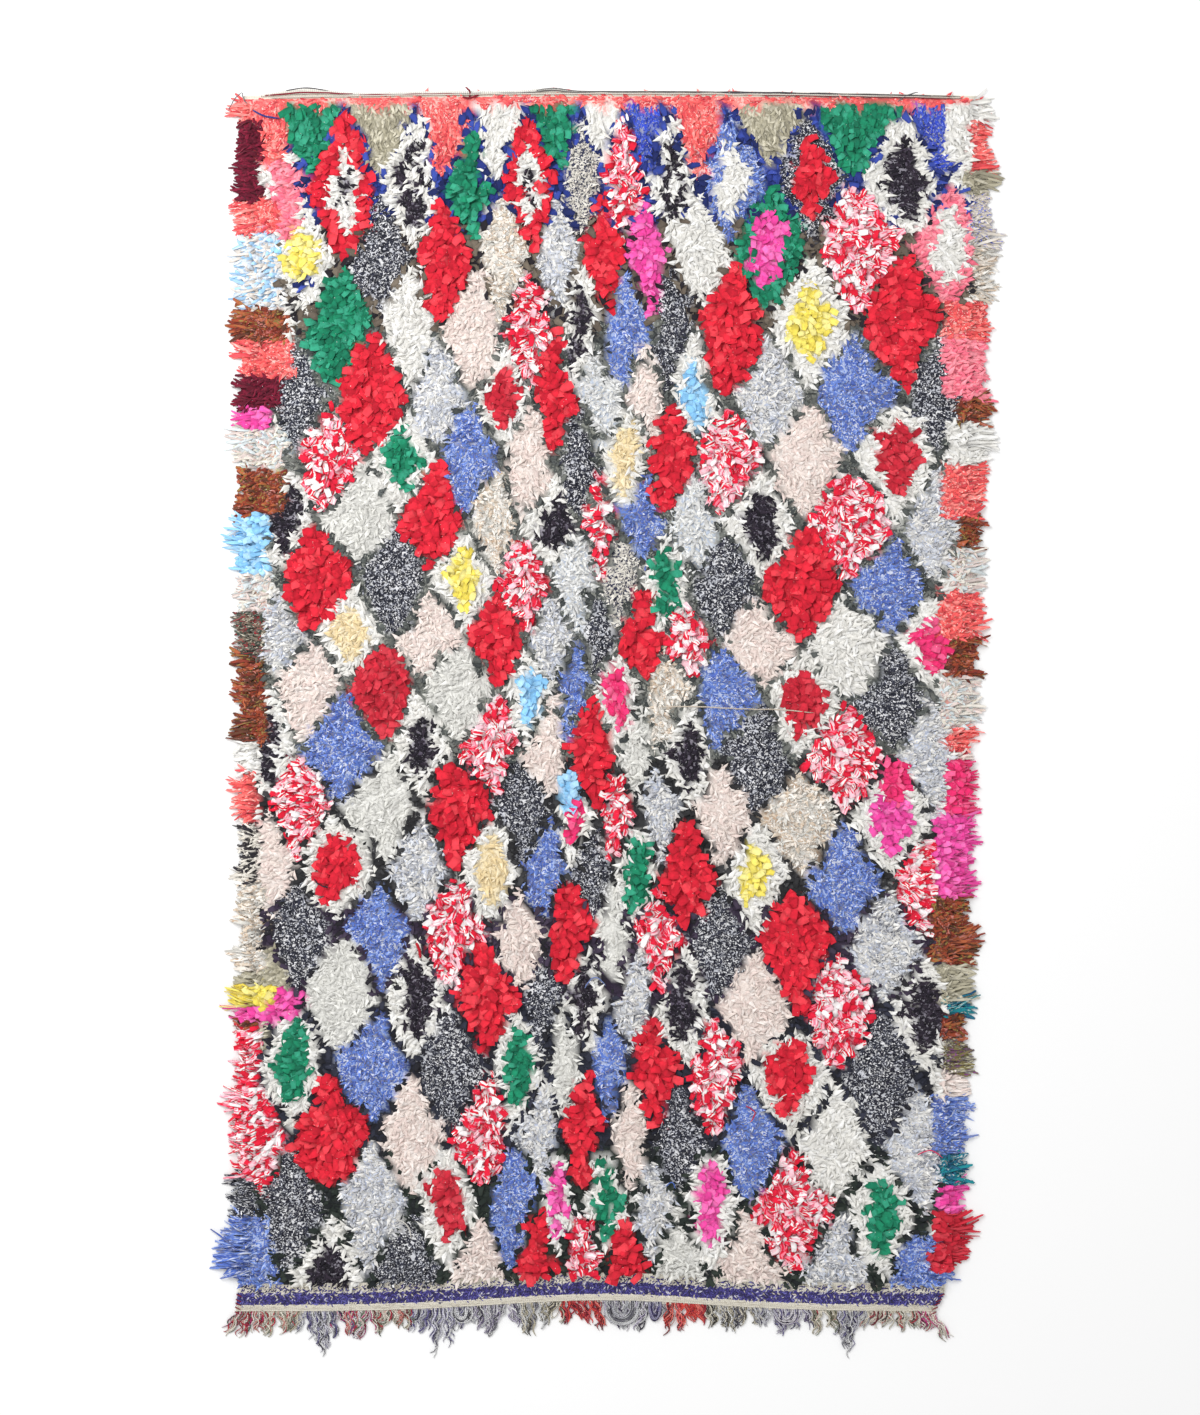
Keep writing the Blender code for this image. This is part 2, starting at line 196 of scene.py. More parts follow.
# Every cloth: its pile and the tints that its strips are cut from, a print's second tints with how
# much of a strip they cover, and how large its strips are
cloths = {
    "red": ragCloth("jersey", (221, 38, 57), (209, 30, 51), (231, 62, 75), (195, 26, 47)),
    "darkRed": ragCloth("jersey", (198, 38, 56), (182, 30, 48), (210, 58, 72), size=0.9),
    "green": ragCloth("jersey", (24, 132, 96), (18, 114, 84), (50, 152, 120), size=0.85),
    "yellow": ragCloth("jersey", (238, 222, 106), (228, 208, 86), (242, 230, 144), size=0.8),
    "hotPink": ragCloth("jersey", (236, 84, 168), (224, 64, 150), (244, 112, 184), size=0.8),
    "rose": ragCloth("jersey", (234, 54, 116), (222, 42, 104), (240, 92, 140), size=0.8),
    "lightBlue": ragCloth("jersey", (150, 206, 244), (172, 216, 246), (132, 190, 232), size=0.8),
    "coral": ragCloth("mixed", (255, 110, 106), (252, 138, 132), (244, 94, 94), (216, 74, 82),
        prints=[(253, 196, 188), (224, 88, 92)], share=0.3),
    "pink": ragCloth("mixed", (248, 132, 150), (250, 150, 164), (240, 112, 136), size=1.2),
    "cream": ragCloth("pale", (232, 230, 225), (223, 221, 215), (238, 237, 234), size=1.18),
    "greyCream": ragCloth("pale", (220, 219, 213), (211, 210, 205), (230, 229, 224)),
    "greyWhite": ragCloth("mixed", (220, 220, 217), (208, 208, 207), (231, 231, 229),
        prints=[(172, 174, 178), (196, 206, 222)], share=0.28),
    "peach": ragCloth("pale", (234, 220, 212), (229, 211, 204), (240, 229, 223)),
    "tan": ragCloth("pale", (236, 216, 172), (228, 206, 160), (242, 226, 190)),
    "khaki": ragCloth("mixed", (176, 170, 148), (156, 150, 130), (204, 198, 178)),
    "khakiCream": ragCloth("mixed", (240, 236, 229), (233, 224, 213), (216, 200, 181), (210, 207, 200),
        prints=[(190, 163, 138), (240, 236, 230), (160, 158, 151)], share=0.34),
    "paleMix": ragCloth("pale", (228, 222, 212), (222, 206, 200), (214, 222, 224),
        prints=[(180, 200, 210), (214, 150, 140), (200, 196, 160)], share=0.2),
    "paleBlue": ragCloth("mixed", (222, 214, 206), (206, 216, 228), (164, 204, 238), size=1.2),
    "lilac": ragCloth("mixed", (229, 227, 223), (215, 213, 210), (208, 211, 218), (186, 187, 192),
        prints=[(120, 122, 130), (188, 196, 216), (238, 237, 234)], share=0.36),
    "charcoal": ragCloth("print", (36, 38, 50), (50, 52, 66), (42, 42, 54), prints=[(236, 236, 238),
        (200, 202, 210)], share=0.34),
    "paleCharcoal": ragCloth("print", (228, 224, 214), (218, 212, 202), prints=[(60, 62, 84)], share=0.4),
    "blackCream": ragCloth("print", (228, 222, 212), (44, 40, 46), prints=[(120, 116, 112)], share=0.2),
    "blueMix": ragCloth("print", (92, 122, 204), (106, 134, 208), (80, 104, 184), prints=[(166, 184, 228),
        (206, 212, 230), (112, 116, 150)], share=0.42),
    "royal": ragCloth("print", (56, 80, 204), (70, 92, 196), (52, 70, 180), prints=[(168, 168, 176),
        (126, 140, 210)], share=0.3),
    "creamBlue": ragCloth("print", (224, 216, 204), (216, 206, 194), prints=[(80, 100, 206)], share=0.3),
    "redWhite": ragCloth("striped", (222, 28, 58), (212, 24, 50), (240, 234, 234), (242, 192, 202),
        prints=[(242, 236, 236), (218, 28, 58), (236, 120, 142)], share=0.42),
    "rust": ragCloth("print", (150, 66, 42), (128, 52, 38), (172, 92, 58), (92, 56, 40),
        prints=[(146, 126, 66), (92, 40, 34), (190, 120, 110)], share=0.35, size=1.15),
    "maroon": ragCloth("print", (120, 20, 48), (98, 16, 40), prints=[(70, 14, 32)], share=0.3, size=1.15),
    "darkMix": ragCloth("print", (88, 84, 76), (132, 120, 104), (60, 70, 62), prints=[(150, 40, 50),
        (200, 190, 172)], share=0.35),
    "teal": ragCloth("print", (28, 138, 148), (34, 108, 132), prints=[(30, 60, 110), (190, 200, 200)],
        share=0.35),
    "oliveMix": ragCloth("print", (122, 112, 70), (104, 96, 96), prints=[(122, 72, 120), (180, 176, 150)],
        share=0.4),
    "black": ragCloth("print", (36, 30, 42), (46, 38, 50), (26, 22, 32), prints=[(92, 84, 100),
        (150, 146, 156)], share=0.16),
    "navy": ragCloth("outline", (36, 50, 120), (26, 36, 86), (54, 72, 156), size=1.25),
    "oliveBrown": ragCloth("outline", (96, 86, 76), (110, 100, 88), (36, 32, 38), size=1.2),
    "slate": ragCloth("outline", (84, 88, 86), (104, 106, 102), (60, 64, 64), prints=[(140, 142, 134),
        (52, 54, 56)], share=0.3),
    "blackLine": ragCloth("outline", (42, 42, 44), (58, 58, 60), (34, 34, 36)),
    "plumBlack": ragCloth("outline", (46, 36, 54), (36, 34, 40), (62, 52, 70)),
    "inkBlack": ragCloth("outline", (36, 38, 50), (46, 48, 62), (30, 30, 36)),
    "greenBlack": ragCloth("outline", (34, 42, 38), (46, 54, 48), (28, 32, 34)),
}
clothNumber = {name: number for number, name in enumerate(cloths)}


def eased(share):
    return share * share * (3 - 2 * share)


def smooth(value, low, high):
    return eased(np.clip((value - low) / (high - low), 0, 1))


def bell(place, middle, half):
    return np.exp(-(((place - middle) / half) ** 2))


def roundOut(dx, dy, power):
    return (np.abs(dx) ** power + np.abs(dy) ** power) ** (1 / power)


def spots(x, y, z):
    return np.stack(np.broadcast_arrays(x, y, z), axis=1)


def sceneColour(colour):
    shares = np.asarray(colour, float) / 255
    return np.where(shares > 0.04045, ((shares + 0.055) / 1.055) ** 2.4, shares / 12.92)


def sceneTint(colour):
    return (*sceneColour(colour), 1.0)


def noiseAt(size, seed, *places):
    columns = [np.asarray(place, float) / size for place in places]
    columns += [np.full(len(columns[0]), float(seed))] * (3 - len(columns))
    return np.array([noise.noise(spot) for spot in zip(*columns)])


def stepAt(tops, y):
    # which of these places down the rug is the last one above y
    return np.clip(np.searchsorted(-np.array(tops), -y) - 1, 0, len(tops) - 1)


def edgeAt(name, y):
    places, values = np.array(rugEdges["y"]), np.array(rugEdges[name])
    slot = stepAt(places[:-1], y)
    share = np.clip((places[slot] - y) / (places[slot] - places[slot + 1]), 0, 1)
    return values[slot] + (values[slot + 1] - values[slot]) * eased(share)


def ragAt(rags, y):
    # the rag at these places down a long edge: its cloth's number and how wide its strip is
    tops, names, widths = zip(*rags)
    slot = stepAt(tops, y)
    return np.array([clothNumber[name] for name in names])[slot], np.array(widths)[slot]


def bandRaise(x):
    return rugEnds["bandWave"] * bell(x, rugEnds["bandWavePlace"], rugEnds["bandWaveWidth"])


def hemDrop(x):
    return rugEnds["hemCrown"] * (x / rugEdges["right"][0]) ** 2


def hemLine(x, below):
    return rugEnds["hem"] - hemDrop(x) - below


def latticeMarks(lengths):
    # one more half lozenge is added at either end, so that the edges can be looked up too
    padded = [lengths[0]] + lengths + [lengths[-1]]
    marks = np.concatenate([[0], np.cumsum(padded)]) - lengths[0]
    return marks / sum(lengths), np.arange(-1, len(lengths) + 2)


def fieldPlace(x, y):
    # how many half lozenges a place is across the field and down it
    field = lozengeField
    top, bottom = rugEnds["fieldTop"], rugEnds["fieldBottom"]
    drift = 2 * field["drift"] * np.clip(np.minimum(top - y, y - bottom) / 0.12, 0, 1)
    size = field["driftSize"]
    x, y = x + drift * noiseAt(size, 31, x, y), y + 1.4 * drift * noiseAt(size, 37, x, y)
    share = (top - y) / (top - bottom)
    for repeat in range(6):
        turned = eased(np.clip(share / field["slopeTurn"], 0, 1))
        slope = field["slopeTop"] + (field["slopeBottom"] - field["slopeTop"]) * turned
        slope *= np.clip(np.minimum(share, 1 - share) * field["straighten"], 0, 1)
        wave = bandRaise(x) * np.clip(share, 0, 1) ** rugEnds["waveFade"]
        share = (top + slope * x + wave - y) / (top - bottom)
    left, right = edgeAt("fieldLeft", y), edgeAt("fieldRight", y)
    place = (x - left) / (right - left)
    column = place + np.interp(place, field["leanPlaces"], field["lean"]) * np.clip(y / top, 0, None)
    across = np.interp(column, *latticeMarks(field["halfWidths"]))
    return across, np.interp(share, *latticeMarks(field["halfLengths"]))


def chartLayers():
    # tables of cloth numbers, the outer cloth of each lozenge and the ones inside it, and of growth
    layers = np.full((3, len(lozengeChart), 21), clothNumber["cream"])
    growth = np.ones((len(lozengeChart), 21))
    for row, line in enumerate(lozengeChart):
        for place, entry in enumerate(line.split()):
            names = entry.strip("*").split(":")
            column = 2 * place + row % 2
            for layer in range(3):
                layers[layer, row, column] = clothNumber[names[min(layer, len(names) - 1)]]
            grow = lozengeField["grow"].get(cloths[names[0]]["pile"], 1.0)
            growth[row, column] = grow * (lozengeField["giveWay"] if "*" in entry else 1.0)
    return *layers, growth


outerChart, ringChart, coreChart, growthChart = chartLayers()


def lozengeAt(x, y):
    # the lozenge at a place: its column and row, how far out from its middle, how clear of the next,
    # and the way out from its middle in metres
    across, down = fieldPlace(x, y)
    column, row = np.floor(across), np.floor(down)
    odd = (column + row) % 2
    found = []
    for c, r in ((column + odd, row), (column + 1 - odd, row + 1)):
        dx, dy = across - c, down - r
        c, r = np.clip(c, 0, 20).astype(int), np.clip(r, 0, 18).astype(int)
        found.append(np.stack([c, r, dx, dy, (np.abs(dx) + np.abs(dy)) * growthChart[r, c]]))
    first, second = found
    c, r, dx, dy = np.where(first[4] < second[4], first, second)[:4]
    widths = np.interp(c, np.arange(20) + 0.5, lozengeField["halfWidths"])
    heights = np.interp(r, np.arange(18) + 0.5, lozengeField["halfLengths"])
    clear = np.abs(first[4] - second[4]) / 2 * widths * heights / np.hypot(widths, heights)
    return c.astype(int), r.astype(int), dx, dy, clear, widths * dx, -heights * dy


def clothAt(x, y):
    # the number of the cloth that is knotted in at each place
    field = lozengeField
    unevenX, unevenY = (noiseAt(field["wanderSize"], seed, x, y) for seed in (1, 5))
    shift = noiseAt(0.05, 9, x, np.floor(y / field["rowPitch"]) * 0.37)
    px = x + field["wander"] * unevenX * 2 + field["rowShift"] * shift * 2
    py = y + field["wander"] * unevenY * 2
    c, r, dx, dy, clear = lozengeAt(px, py)[:5]
    line = np.interp(y, field["outlinePlaces"], field["outline"])
    line = line * (1 + field["outlineFade"] * 2 * noiseAt(0.035, 13, x, y))
    inside = (clear > line) & (roundOut(dx * field["narrow"], dy, field["round"]) < field["fill"])
    tops, names = zip(*outlineCloths)
    number = np.array([clothNumber[name] for name in names])[stepAt(tops, y + 0.03 * unevenX)]
    number = np.where(inside, outerChart[r, c], number)
    out = roundOut(dx * field["coreNarrow"], dy, field["coreRound"])
    out /= np.array([field["coreGrow"].get(name, 1.0) for name in cloths])[ringChart[r, c]]
    for chart, end in ((ringChart, "core"), (coreChart, "innerCore")):
        number = np.where(inside & (out < field[end]), chart[r, c], number)
    for middleX, middleY, halfWidth, halfLength, name in ragPatches:
        far = np.abs((px - middleX) / halfWidth) ** 3 + np.abs((py - middleY) / halfLength) ** 3
        number = np.where(far < 1, clothNumber[name], number)
    for name, side, rags in (("left", 1, leftRags), ("right", -1, rightRags)):
        kinds, depth = ragAt(rags, y + 0.008 * unevenX)
        fromEdge = side * (x - edgeAt(name, y))
        number = np.where(fromEdge < depth + 0.012 * unevenY, kinds, number)
    return np.where(y > rugEnds["coralRow"] + 0.01 * unevenX, clothNumber["coral"], number)


print("layout: the lozenge field and its cloths")


class Signal:
    # an output of a node, which sums and products can be written with
    def __init__(self, maker, made, output=0):
        self.maker = maker
        self.made = made
        self.socket = made.outputs[output]

    def out(self, output):
        return Signal(self.maker, self.made, output)

    def combine(self, operation, *values):
        return self.maker.node("ShaderNodeMath", {"operation": operation}, dict(enumerate(values)))

    def sine(self):
        return self.combine("SINE", self)

    def __add__(self, other):
        return self.combine("ADD", self, other)

    def __radd__(self, other):
        return self.combine("ADD", other, self)

    def __sub__(self, other):
        return self.combine("SUBTRACT", self, other)

    def __rsub__(self, other):
        return self.combine("SUBTRACT", other, self)

    def __mul__(self, other):
        return self.combine("MULTIPLY", self, other)

    def __rmul__(self, other):
        return self.combine("MULTIPLY", other, self)


class NodeMaker:
    # adds nodes to a tree: a type, its settings, then the values or links of its sockets
    def __init__(self, tree):
        self.tree = tree

    def node(self, kind, settings=None, sockets=None, output=0):
        made = self.tree.nodes.new(kind)
        for name, value in (settings or {}).items():
            setattr(made, name, value)
        for name, value in (sockets or {}).items():
            self.feed(made.inputs[name], value)
        return Signal(self, made, output)

    def feed(self, socket, value):
        if isinstance(value, Signal):
            self.tree.links.new(value.socket, socket)
        else:
            socket.default_value = value

    def place(self):
        return self.node("ShaderNodeTexCoord", output="Object")

    def value(self, name):
        return self.node("ShaderNodeAttribute", {"attribute_name": name}, output="Fac")

    def tint(self, name):
        return self.node("ShaderNodeAttribute", {"attribute_name": name})

    def vector(self, *values):
        return self.node("ShaderNodeCombineXYZ", sockets=dict(enumerate(values)))

    def vectorMath(self, operation, first, second):
        return self.node("ShaderNodeVectorMath", {"operation": operation}, {0: first, 1: second})

    def mix(self, factor, first, second, blend="MIX"):
        settings = {"data_type": "RGBA", "blend_type": blend}
        return self.node("ShaderNodeMix", settings, {0: factor, 6: first, 7: second}, output=2)

    def shaded(self, colour, shade):
        return self.mix(1.0, colour, self.vector(shade, shade, shade), "MULTIPLY")

    def ramp(self, factor, low, high):
        # 0 below low, 1 above high, smooth between
        sockets = {"Value": factor, "From Min": low, "From Max": high}
        return self.node("ShaderNodeMapRange", {"interpolation_type": "SMOOTHSTEP"}, sockets)

    def noise(self, vector, scale, detail=2.0):
        return self.node("ShaderNodeTexNoise", {}, {"Vector": vector, "Scale": scale, "Detail": detail})


def newMaterial(name, roughness, sheen):
    material = bpy.data.materials.new(name)
    material.use_nodes = True
    shader = material.node_tree.nodes["Principled BSDF"]
    for socket, value in (("Roughness", roughness), ("Sheen Weight", sheen),
                          ("Sheen Roughness", 0.5), ("Specular IOR Level", 0.25)):
        shader.inputs[socket].default_value = value
    return material, NodeMaker(material.node_tree), shader


def dress(maker, shader, colour, roughness, strength, distance, height):
    bump = maker.node("ShaderNodeBump", sockets={
        "Strength": strength, "Distance": distance, "Height": height})
    for socket, value in (("Base Color", colour), ("Roughness", roughness), ("Normal", bump)):
        maker.feed(shader.inputs[socket], value)


clothFinish = {
    "roughness": 0.9,
    "roughnessSpread": 0.08,
    "sheen": 0.15,
    "printLength": 5.0,  # bits of a print along one strip
    "printWidth": 1.2,
    "printEdge": 0.04,
    "fuzz": 700.0,  # fibres to the metre
    "bump": 0.0005,
    "creases": 3.2,  # creases to half a strip's width, their length, depth and painted shade
    "creaseLength": 4.0,
    "creaseDepth": 0.0014,
    "creaseShade": 0.3,
    "rootShade": 0.34,  # painted shade: how much darker a strip is at its knot, and at its sides
    "sideShade": 0.26,
    "lift": 1.14,
    "fade": 0.1,  # how much paler and darker patches go, partly worn cloth and partly painted shade of the pile's clumps
    "fadeSize": 60.0,
    "specks": 0.77,  # bits of white fluff; higher is fewer
    "speckSize": 330.0,
}


def stripSpot(maker, lengthways, sideways):
    # a place on its own strip, apart from those on all others
    chance = maker.value("chance")
    return maker.vector(maker.value("along") * lengthways + chance * 91.0,
                        maker.value("across") * sideways + chance * 37.0, chance * 13.0)


def printColour(maker, spot, edge):
    # a share of 0 keeps the print off, and a share of 1 covers the strip with it
    share = maker.value("printShare")
    line = 0.78 - share * 0.56
    over = maker.ramp(maker.noise(spot, 1.0, 1.0) - line, -edge, edge)
    return maker.mix(over * maker.ramp(share, 0.01, 0.02), maker.tint("tint"), maker.tint("printTint"))


def ragMaterial(name, finish):
    material, maker, shader = newMaterial(name, finish["roughness"], finish["sheen"])
    place = maker.place()
    spot = stripSpot(maker, finish["printLength"], finish["printWidth"])
    colour = printColour(maker, spot, finish["printEdge"])
    crease = maker.noise(stripSpot(maker, finish["creaseLength"], finish["creases"]), 1.0)
    # paler and darker patches: partly worn cloth, partly painted shade of the pile's clumps
    worn = maker.noise(place, finish["fadeSize"], 3.0)
    fibre = maker.noise(place, finish["fuzz"])
    # painted shade: each strip is darker along its creases
    shade = 1 + (worn - 0.5) * (2 * finish["fade"]) + (crease - 0.5) * (2 * finish["creaseShade"])
    # painted shade: darker at each strip's knot and along its sides, where its neighbours would shade it
    across = maker.value("across")
    root = maker.ramp(maker.value("along"), 0.0, 0.6)
    shade = shade * (1 - finish["rootShade"] + root * finish["rootShade"])
    shade = shade * finish["lift"] * (1 - across * across * finish["sideShade"])
    colour = maker.shaded(colour, shade * (0.94 + fibre * 0.12))
    fluff = maker.noise(place, finish["speckSize"], 1.0)
    speck = maker.ramp(fluff, finish["specks"], finish["specks"] + 0.03)
    dress(maker, shader, maker.mix(speck, colour, (0.86, 0.85, 0.82, 1.0)),
          finish["roughness"] + (fibre - 0.5) * finish["roughnessSpread"],
          0.7, finish["bump"], crease * (finish["creaseDepth"] / finish["bump"]) + fibre)
    return material


# A strip's cross-sections, seen from its cut end: half widths and heights, anticlockwise
flatSection = [(1.0, 0.35), (-1.0, 0.35), (0.0, -0.65)]
roundSection = [(0.9, -0.5), (0.0, 1.0), (-0.9, -0.5)]


def directions(path, upwards, least=0.0):
    # the sideways and upward directions at each point of a path
    ahead = np.gradient(path, axis=0)
    ahead /= np.linalg.norm(ahead, axis=1)[:, None] + least
    side = np.cross(upwards, ahead)
    side /= np.linalg.norm(side, axis=1)[:, None] + least
    return side, np.cross(ahead, side)


def stripRings(shape, chance):
    # centre, sideways and upward directions, and size of each cross-section
    along = np.linspace(0, 1, shape["rings"])
    bend = chance.uniform(-1, 1) * shape["bend"]
    tip = chance.uniform(*shape["tipHeight"])
    height = shape["rise"] * (1 - (2 * along**0.8 - 1) ** 2) + tip * along
    centre = spots(shape["length"] * along, shape["length"] * bend * along**2,
                   height - shape["drop"] * smooth(along, 0.3, 1.0))
    centre[1:, 1:] += chance.uniform(-1, 1, (shape["rings"] - 1, 2)) * shape["crinkle"]
    side, up = directions(centre, [0, 0, 1])
    start, end = chance.uniform(-1, 1, 2) * shape["twist"]
    roll = (start + (end - start) * along)[:, None]
    rolledSide = side * np.cos(roll) + up * np.sin(roll)
    rolledUp = up * np.cos(roll) - side * np.sin(roll)
    width = np.interp(along, [0, 0.35, 0.8, 1], [0.65, 1.0, 1.0, shape["tip"]])
    return along, centre, rolledSide, rolledUp, width * chance.uniform(0.85, 1.1, len(along))


def tubeFaces(rings, sides, pointed):
    # faces as point numbers, and each corner's place round and along the bake map's cell
    faces, corners = [], []
    turns = 0.05 + 0.9 * np.arange(sides + 1) / sides
    steps = 0.12 + 0.76 * np.arange(rings) / (rings - 1)
    for ring in range(rings - 1):
        low, high = ring * sides, (ring + 1) * sides
        down, up = steps[ring], steps[ring + 1]
        for side in range(sides):
            after = (side + 1) % sides
            left, right = turns[side], turns[side + 1]
            corners += [(left, down), (right, down)]
            if pointed and ring == rings - 2:
                faces.append([low + side, low + after, high])
                corners.append(((left + right) / 2, up))
            else:
                faces.append([low + side, low + after, high + after, high + side])
                corners += [(right, up), (left, up)]
    if not pointed:
        faces.append(list(range(high, high + sides)))
        corners += capCorners(sides, 0.94)
    faces.append(list(range(sides))[::-1])
    corners += capCorners(sides, 0.06)
    return faces, corners


def capCorners(sides, middle):
    turns = np.arange(sides) / sides * 2 * np.pi
    return [(0.5 + 0.3 * math.cos(turn), middle + 0.04 * math.sin(turn)) for turn in turns]


def newMesh(name, points, faces, corners, smoothed=False):
    mesh = bpy.data.meshes.new(name)
    mesh.from_pydata(np.asarray(points).tolist(), [], faces)
    mesh.uv_layers.new(name="OFBake").data.foreach_set("uv", np.asarray(corners, float).ravel())
    mesh.polygons.foreach_set("use_smooth", [smoothed] * len(faces))
    return mesh


def keepField(mesh, name, values):
    # a number, a vector or a colour at each point
    values = np.ascontiguousarray(values, dtype=np.float32)
    kinds = {1: ("FLOAT", "value"), 3: ("FLOAT_VECTOR", "vector"), 4: ("FLOAT_COLOR", "color")}
    kind, key = kinds[1 if values.ndim == 1 else values.shape[1]]
    mesh.attributes.new(name, kind, "POINT").data.foreach_set(key, values.ravel())


def addObject(name, data):
    made = bpy.data.objects.new(name, data)
    bpy.context.scene.collection.objects.link(made)
    return made


def tell(name, mesh, count, what):
    triangles = sum(len(face.vertices) - 2 for face in mesh.polygons)
    print(f"{name}: {count} {what}, {triangles} triangles")


def stripTemplate(name, shape, chance):
    # one cut strip of rag, closed, that lies along +X from its knot
    along, centre, side, up, width = stripRings(shape, chance)
    points, alongs, acrosses = [], [], []
    for ring in range(shape["rings"]):
        half = shape["width"] / 2 * width[ring]
        last = shape["pointed"] and ring == shape["rings"] - 1
        for wide, high in [(0.0, 0.0)] if last else shape["section"]:
            points.append(centre[ring] + side[ring] * wide * half + up[ring] * high * shape["thickness"])
            alongs.append(along[ring])
            acrosses.append(wide)
    mesh = newMesh(name, points, *tubeFaces(shape["rings"], len(shape["section"]), shape["pointed"]))
    keepField(mesh, "along", alongs)
    keepField(mesh, "across", acrosses)
    return bpy.data.objects.new(name, mesh)


def scatterTree():
    # strips on the knots: picked, turned, leaned and sized at random, each in its own bake cell
    group = bpy.data.node_groups.new("rag strips on knots", "GeometryNodeTree")
    inputs = {}
    for kind, names in (("Geometry", "knots"), ("Collection", "strips"), ("Int", "kinds seed"),
                        ("Float", "sizeSpread lean leanSpread rollSpread cells"), ("Bool", "smooth"),
                        ("Material", "material")):
        for name in names.split():
            socket = group.interface.new_socket(name, in_out="INPUT", socket_type="NodeSocket" + kind)
            inputs[name] = socket.identifier
    group.interface.new_socket("strips", in_out="OUTPUT", socket_type="NodeSocketGeometry")
    maker = NodeMaker(group)
    given = maker.node("NodeGroupInput").out

    def named(name, kind="FLOAT_VECTOR"):
        return maker.node("GeometryNodeInputNamedAttribute", {"data_type": kind}, {"Name": name})

    def between(low, high, extraSeed):
        sockets = {2: low, 3: high, "Seed": given("seed") + extraSeed}
        return maker.node("FunctionNodeRandomValue", {"data_type": "FLOAT"}, sockets, output=1)

    strips = maker.node("GeometryNodeCollectionInfo", {}, {
        "Collection": given("strips"), "Separate Children": True, "Reset Children": True})
    pick = maker.node("FunctionNodeRandomValue", {"data_type": "INT"}, {
        4: 0, 5: given("kinds") - 1, "Seed": given("seed")}, output=2)
    spread, leanSpread = given("sizeSpread"), given("leanSpread")
    size = maker.vectorMath("MULTIPLY", named("size"), between(1 - spread, 1 + spread, 1))
    roll = between(given("rollSpread") * -1, given("rollSpread"), 2)
    lean = given("lean") + between(leanSpread * -1, leanSpread, 3)
    placed = maker.node("GeometryNodeInstanceOnPoints", {}, {
        "Points": given("knots"), "Instance": strips, "Pick Instance": True, "Instance Index": pick,
        "Rotation": maker.vector(roll, lean, named("heading", "FLOAT")), "Scale": size})
    real = maker.node("GeometryNodeRealizeInstances", {}, {"Geometry": placed})
    shrunk = maker.vectorMath("DIVIDE", named("OFBake"), given("cells"))
    stored = maker.node("GeometryNodeStoreNamedAttribute", {"data_type": "FLOAT2", "domain": "CORNER"}, {
        "Geometry": real, "Name": "OFBake", "Value": maker.vectorMath("ADD", shrunk, named("cell"))})
    shaded = maker.node("GeometryNodeSetShadeSmooth", {}, {
        "Geometry": stored, "Shade Smooth": given("smooth")})
    dressed = maker.node("GeometryNodeSetMaterial", {}, {"Geometry": shaded, "Material": given("material")})
    maker.feed(group.nodes.new("NodeGroupOutput").inputs["strips"], dressed)
    return group, inputs


stripTree, stripInputs = scatterTree()


def knotMesh(name, knots):
    mesh = bpy.data.meshes.new(name)
    mesh.from_pydata(knots["place"].tolist(), [], [])
    order = np.arange(len(knots["place"]))
    cells = math.ceil(math.sqrt(len(order)))
    for field in ("heading", "size", "chance", "printShare", "tint", "printTint"):
        keepField(mesh, field, knots[field])
    keepField(mesh, "cell", spots(order % cells, order // cells, 0) / cells)
    return mesh, cells


def settle(mesh, count):
    # keeps every strip between the floor and the top of the pile
    places = np.zeros(len(mesh.vertices) * 3, np.float32)
    mesh.vertices.foreach_get("co", places)
    heights = places.reshape(count, -1, 3)[:, :, 2]
    heights += np.maximum(pileLayout["lowest"] - heights.min(axis=1), 0)[:, None]
    heights -= np.maximum(heights.max(axis=1) - pileLayout["highest"], 0)[:, None]
    mesh.vertices.foreach_set("co", places)


def scatterStrips(name, knots, shape, material):
    chance = np.random.default_rng(shape["seed"])
    holder = bpy.data.collections.new(name + " strips")
    for number in range(shape["kinds"]):
        holder.objects.link(stripTemplate(f"{name} strip {number}", shape, chance))
    mesh, cells = knotMesh(name, knots)
    piece = addObject(name, mesh)
    modifier = piece.modifiers.new("strips", "NODES")
    modifier.node_group = stripTree
    values = dict(shape, strips=holder, cells=float(cells), material=material)
    for field, identifier in stripInputs.items():
        if field != "knots":
            modifier[identifier] = values[field]
    graph = bpy.context.evaluated_depsgraph_get()
    made = bpy.data.meshes.new_from_object(
        piece.evaluated_get(graph), preserve_all_data_layers=True, depsgraph=graph)
    piece.modifiers.remove(modifier)
    piece.data = made
    for strip in list(holder.objects):
        bpy.data.objects.remove(strip)
    bpy.data.collections.remove(holder)
    bpy.data.meshes.remove(mesh)
    for spare in ("heading", "size", "cell"):
        made.attributes.remove(made.attributes[spare])
    settle(made, len(knots["place"]))
    tell(name, made, len(knots["place"]), "strips")
    return piece


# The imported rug's top, which the pile stands by
rugMesh = frame["nodes"]["rug"].data
rugTree = BVHTree.FromPolygons([v.co for v in rugMesh.vertices], [p.vertices for p in rugMesh.polygons])


def cadTop(x, y):
    found = np.full(len(x), 0.01)
    for number, (px, py) in enumerate(zip(x, y)):
        hit = rugTree.ray_cast(Vector((px, py, 0.1)), Vector((0, 0, -1)))[0]
        if hit is not None:
            found[number] = hit.z
    return found


pileLayout = {
    "knots": 0.005,  # the knots lie this far under the pile's top
    "bed": 0.0038,
    "edge": 0.006,  # no knot nearer to an edge of the cloth
    "gather": (-0.006, 0.007, 0.0045),  # the cloth's gather: where, how wide, how deep
    "sway": 0.45,  # the pile starts to fall outwards this far from the middle
    "edgeSpread": 0.5,
    "topSpread": 0.45,
    "topPlace": 1.1,
    "lowest": 0.0004,
    "highest": 0.0325,
}


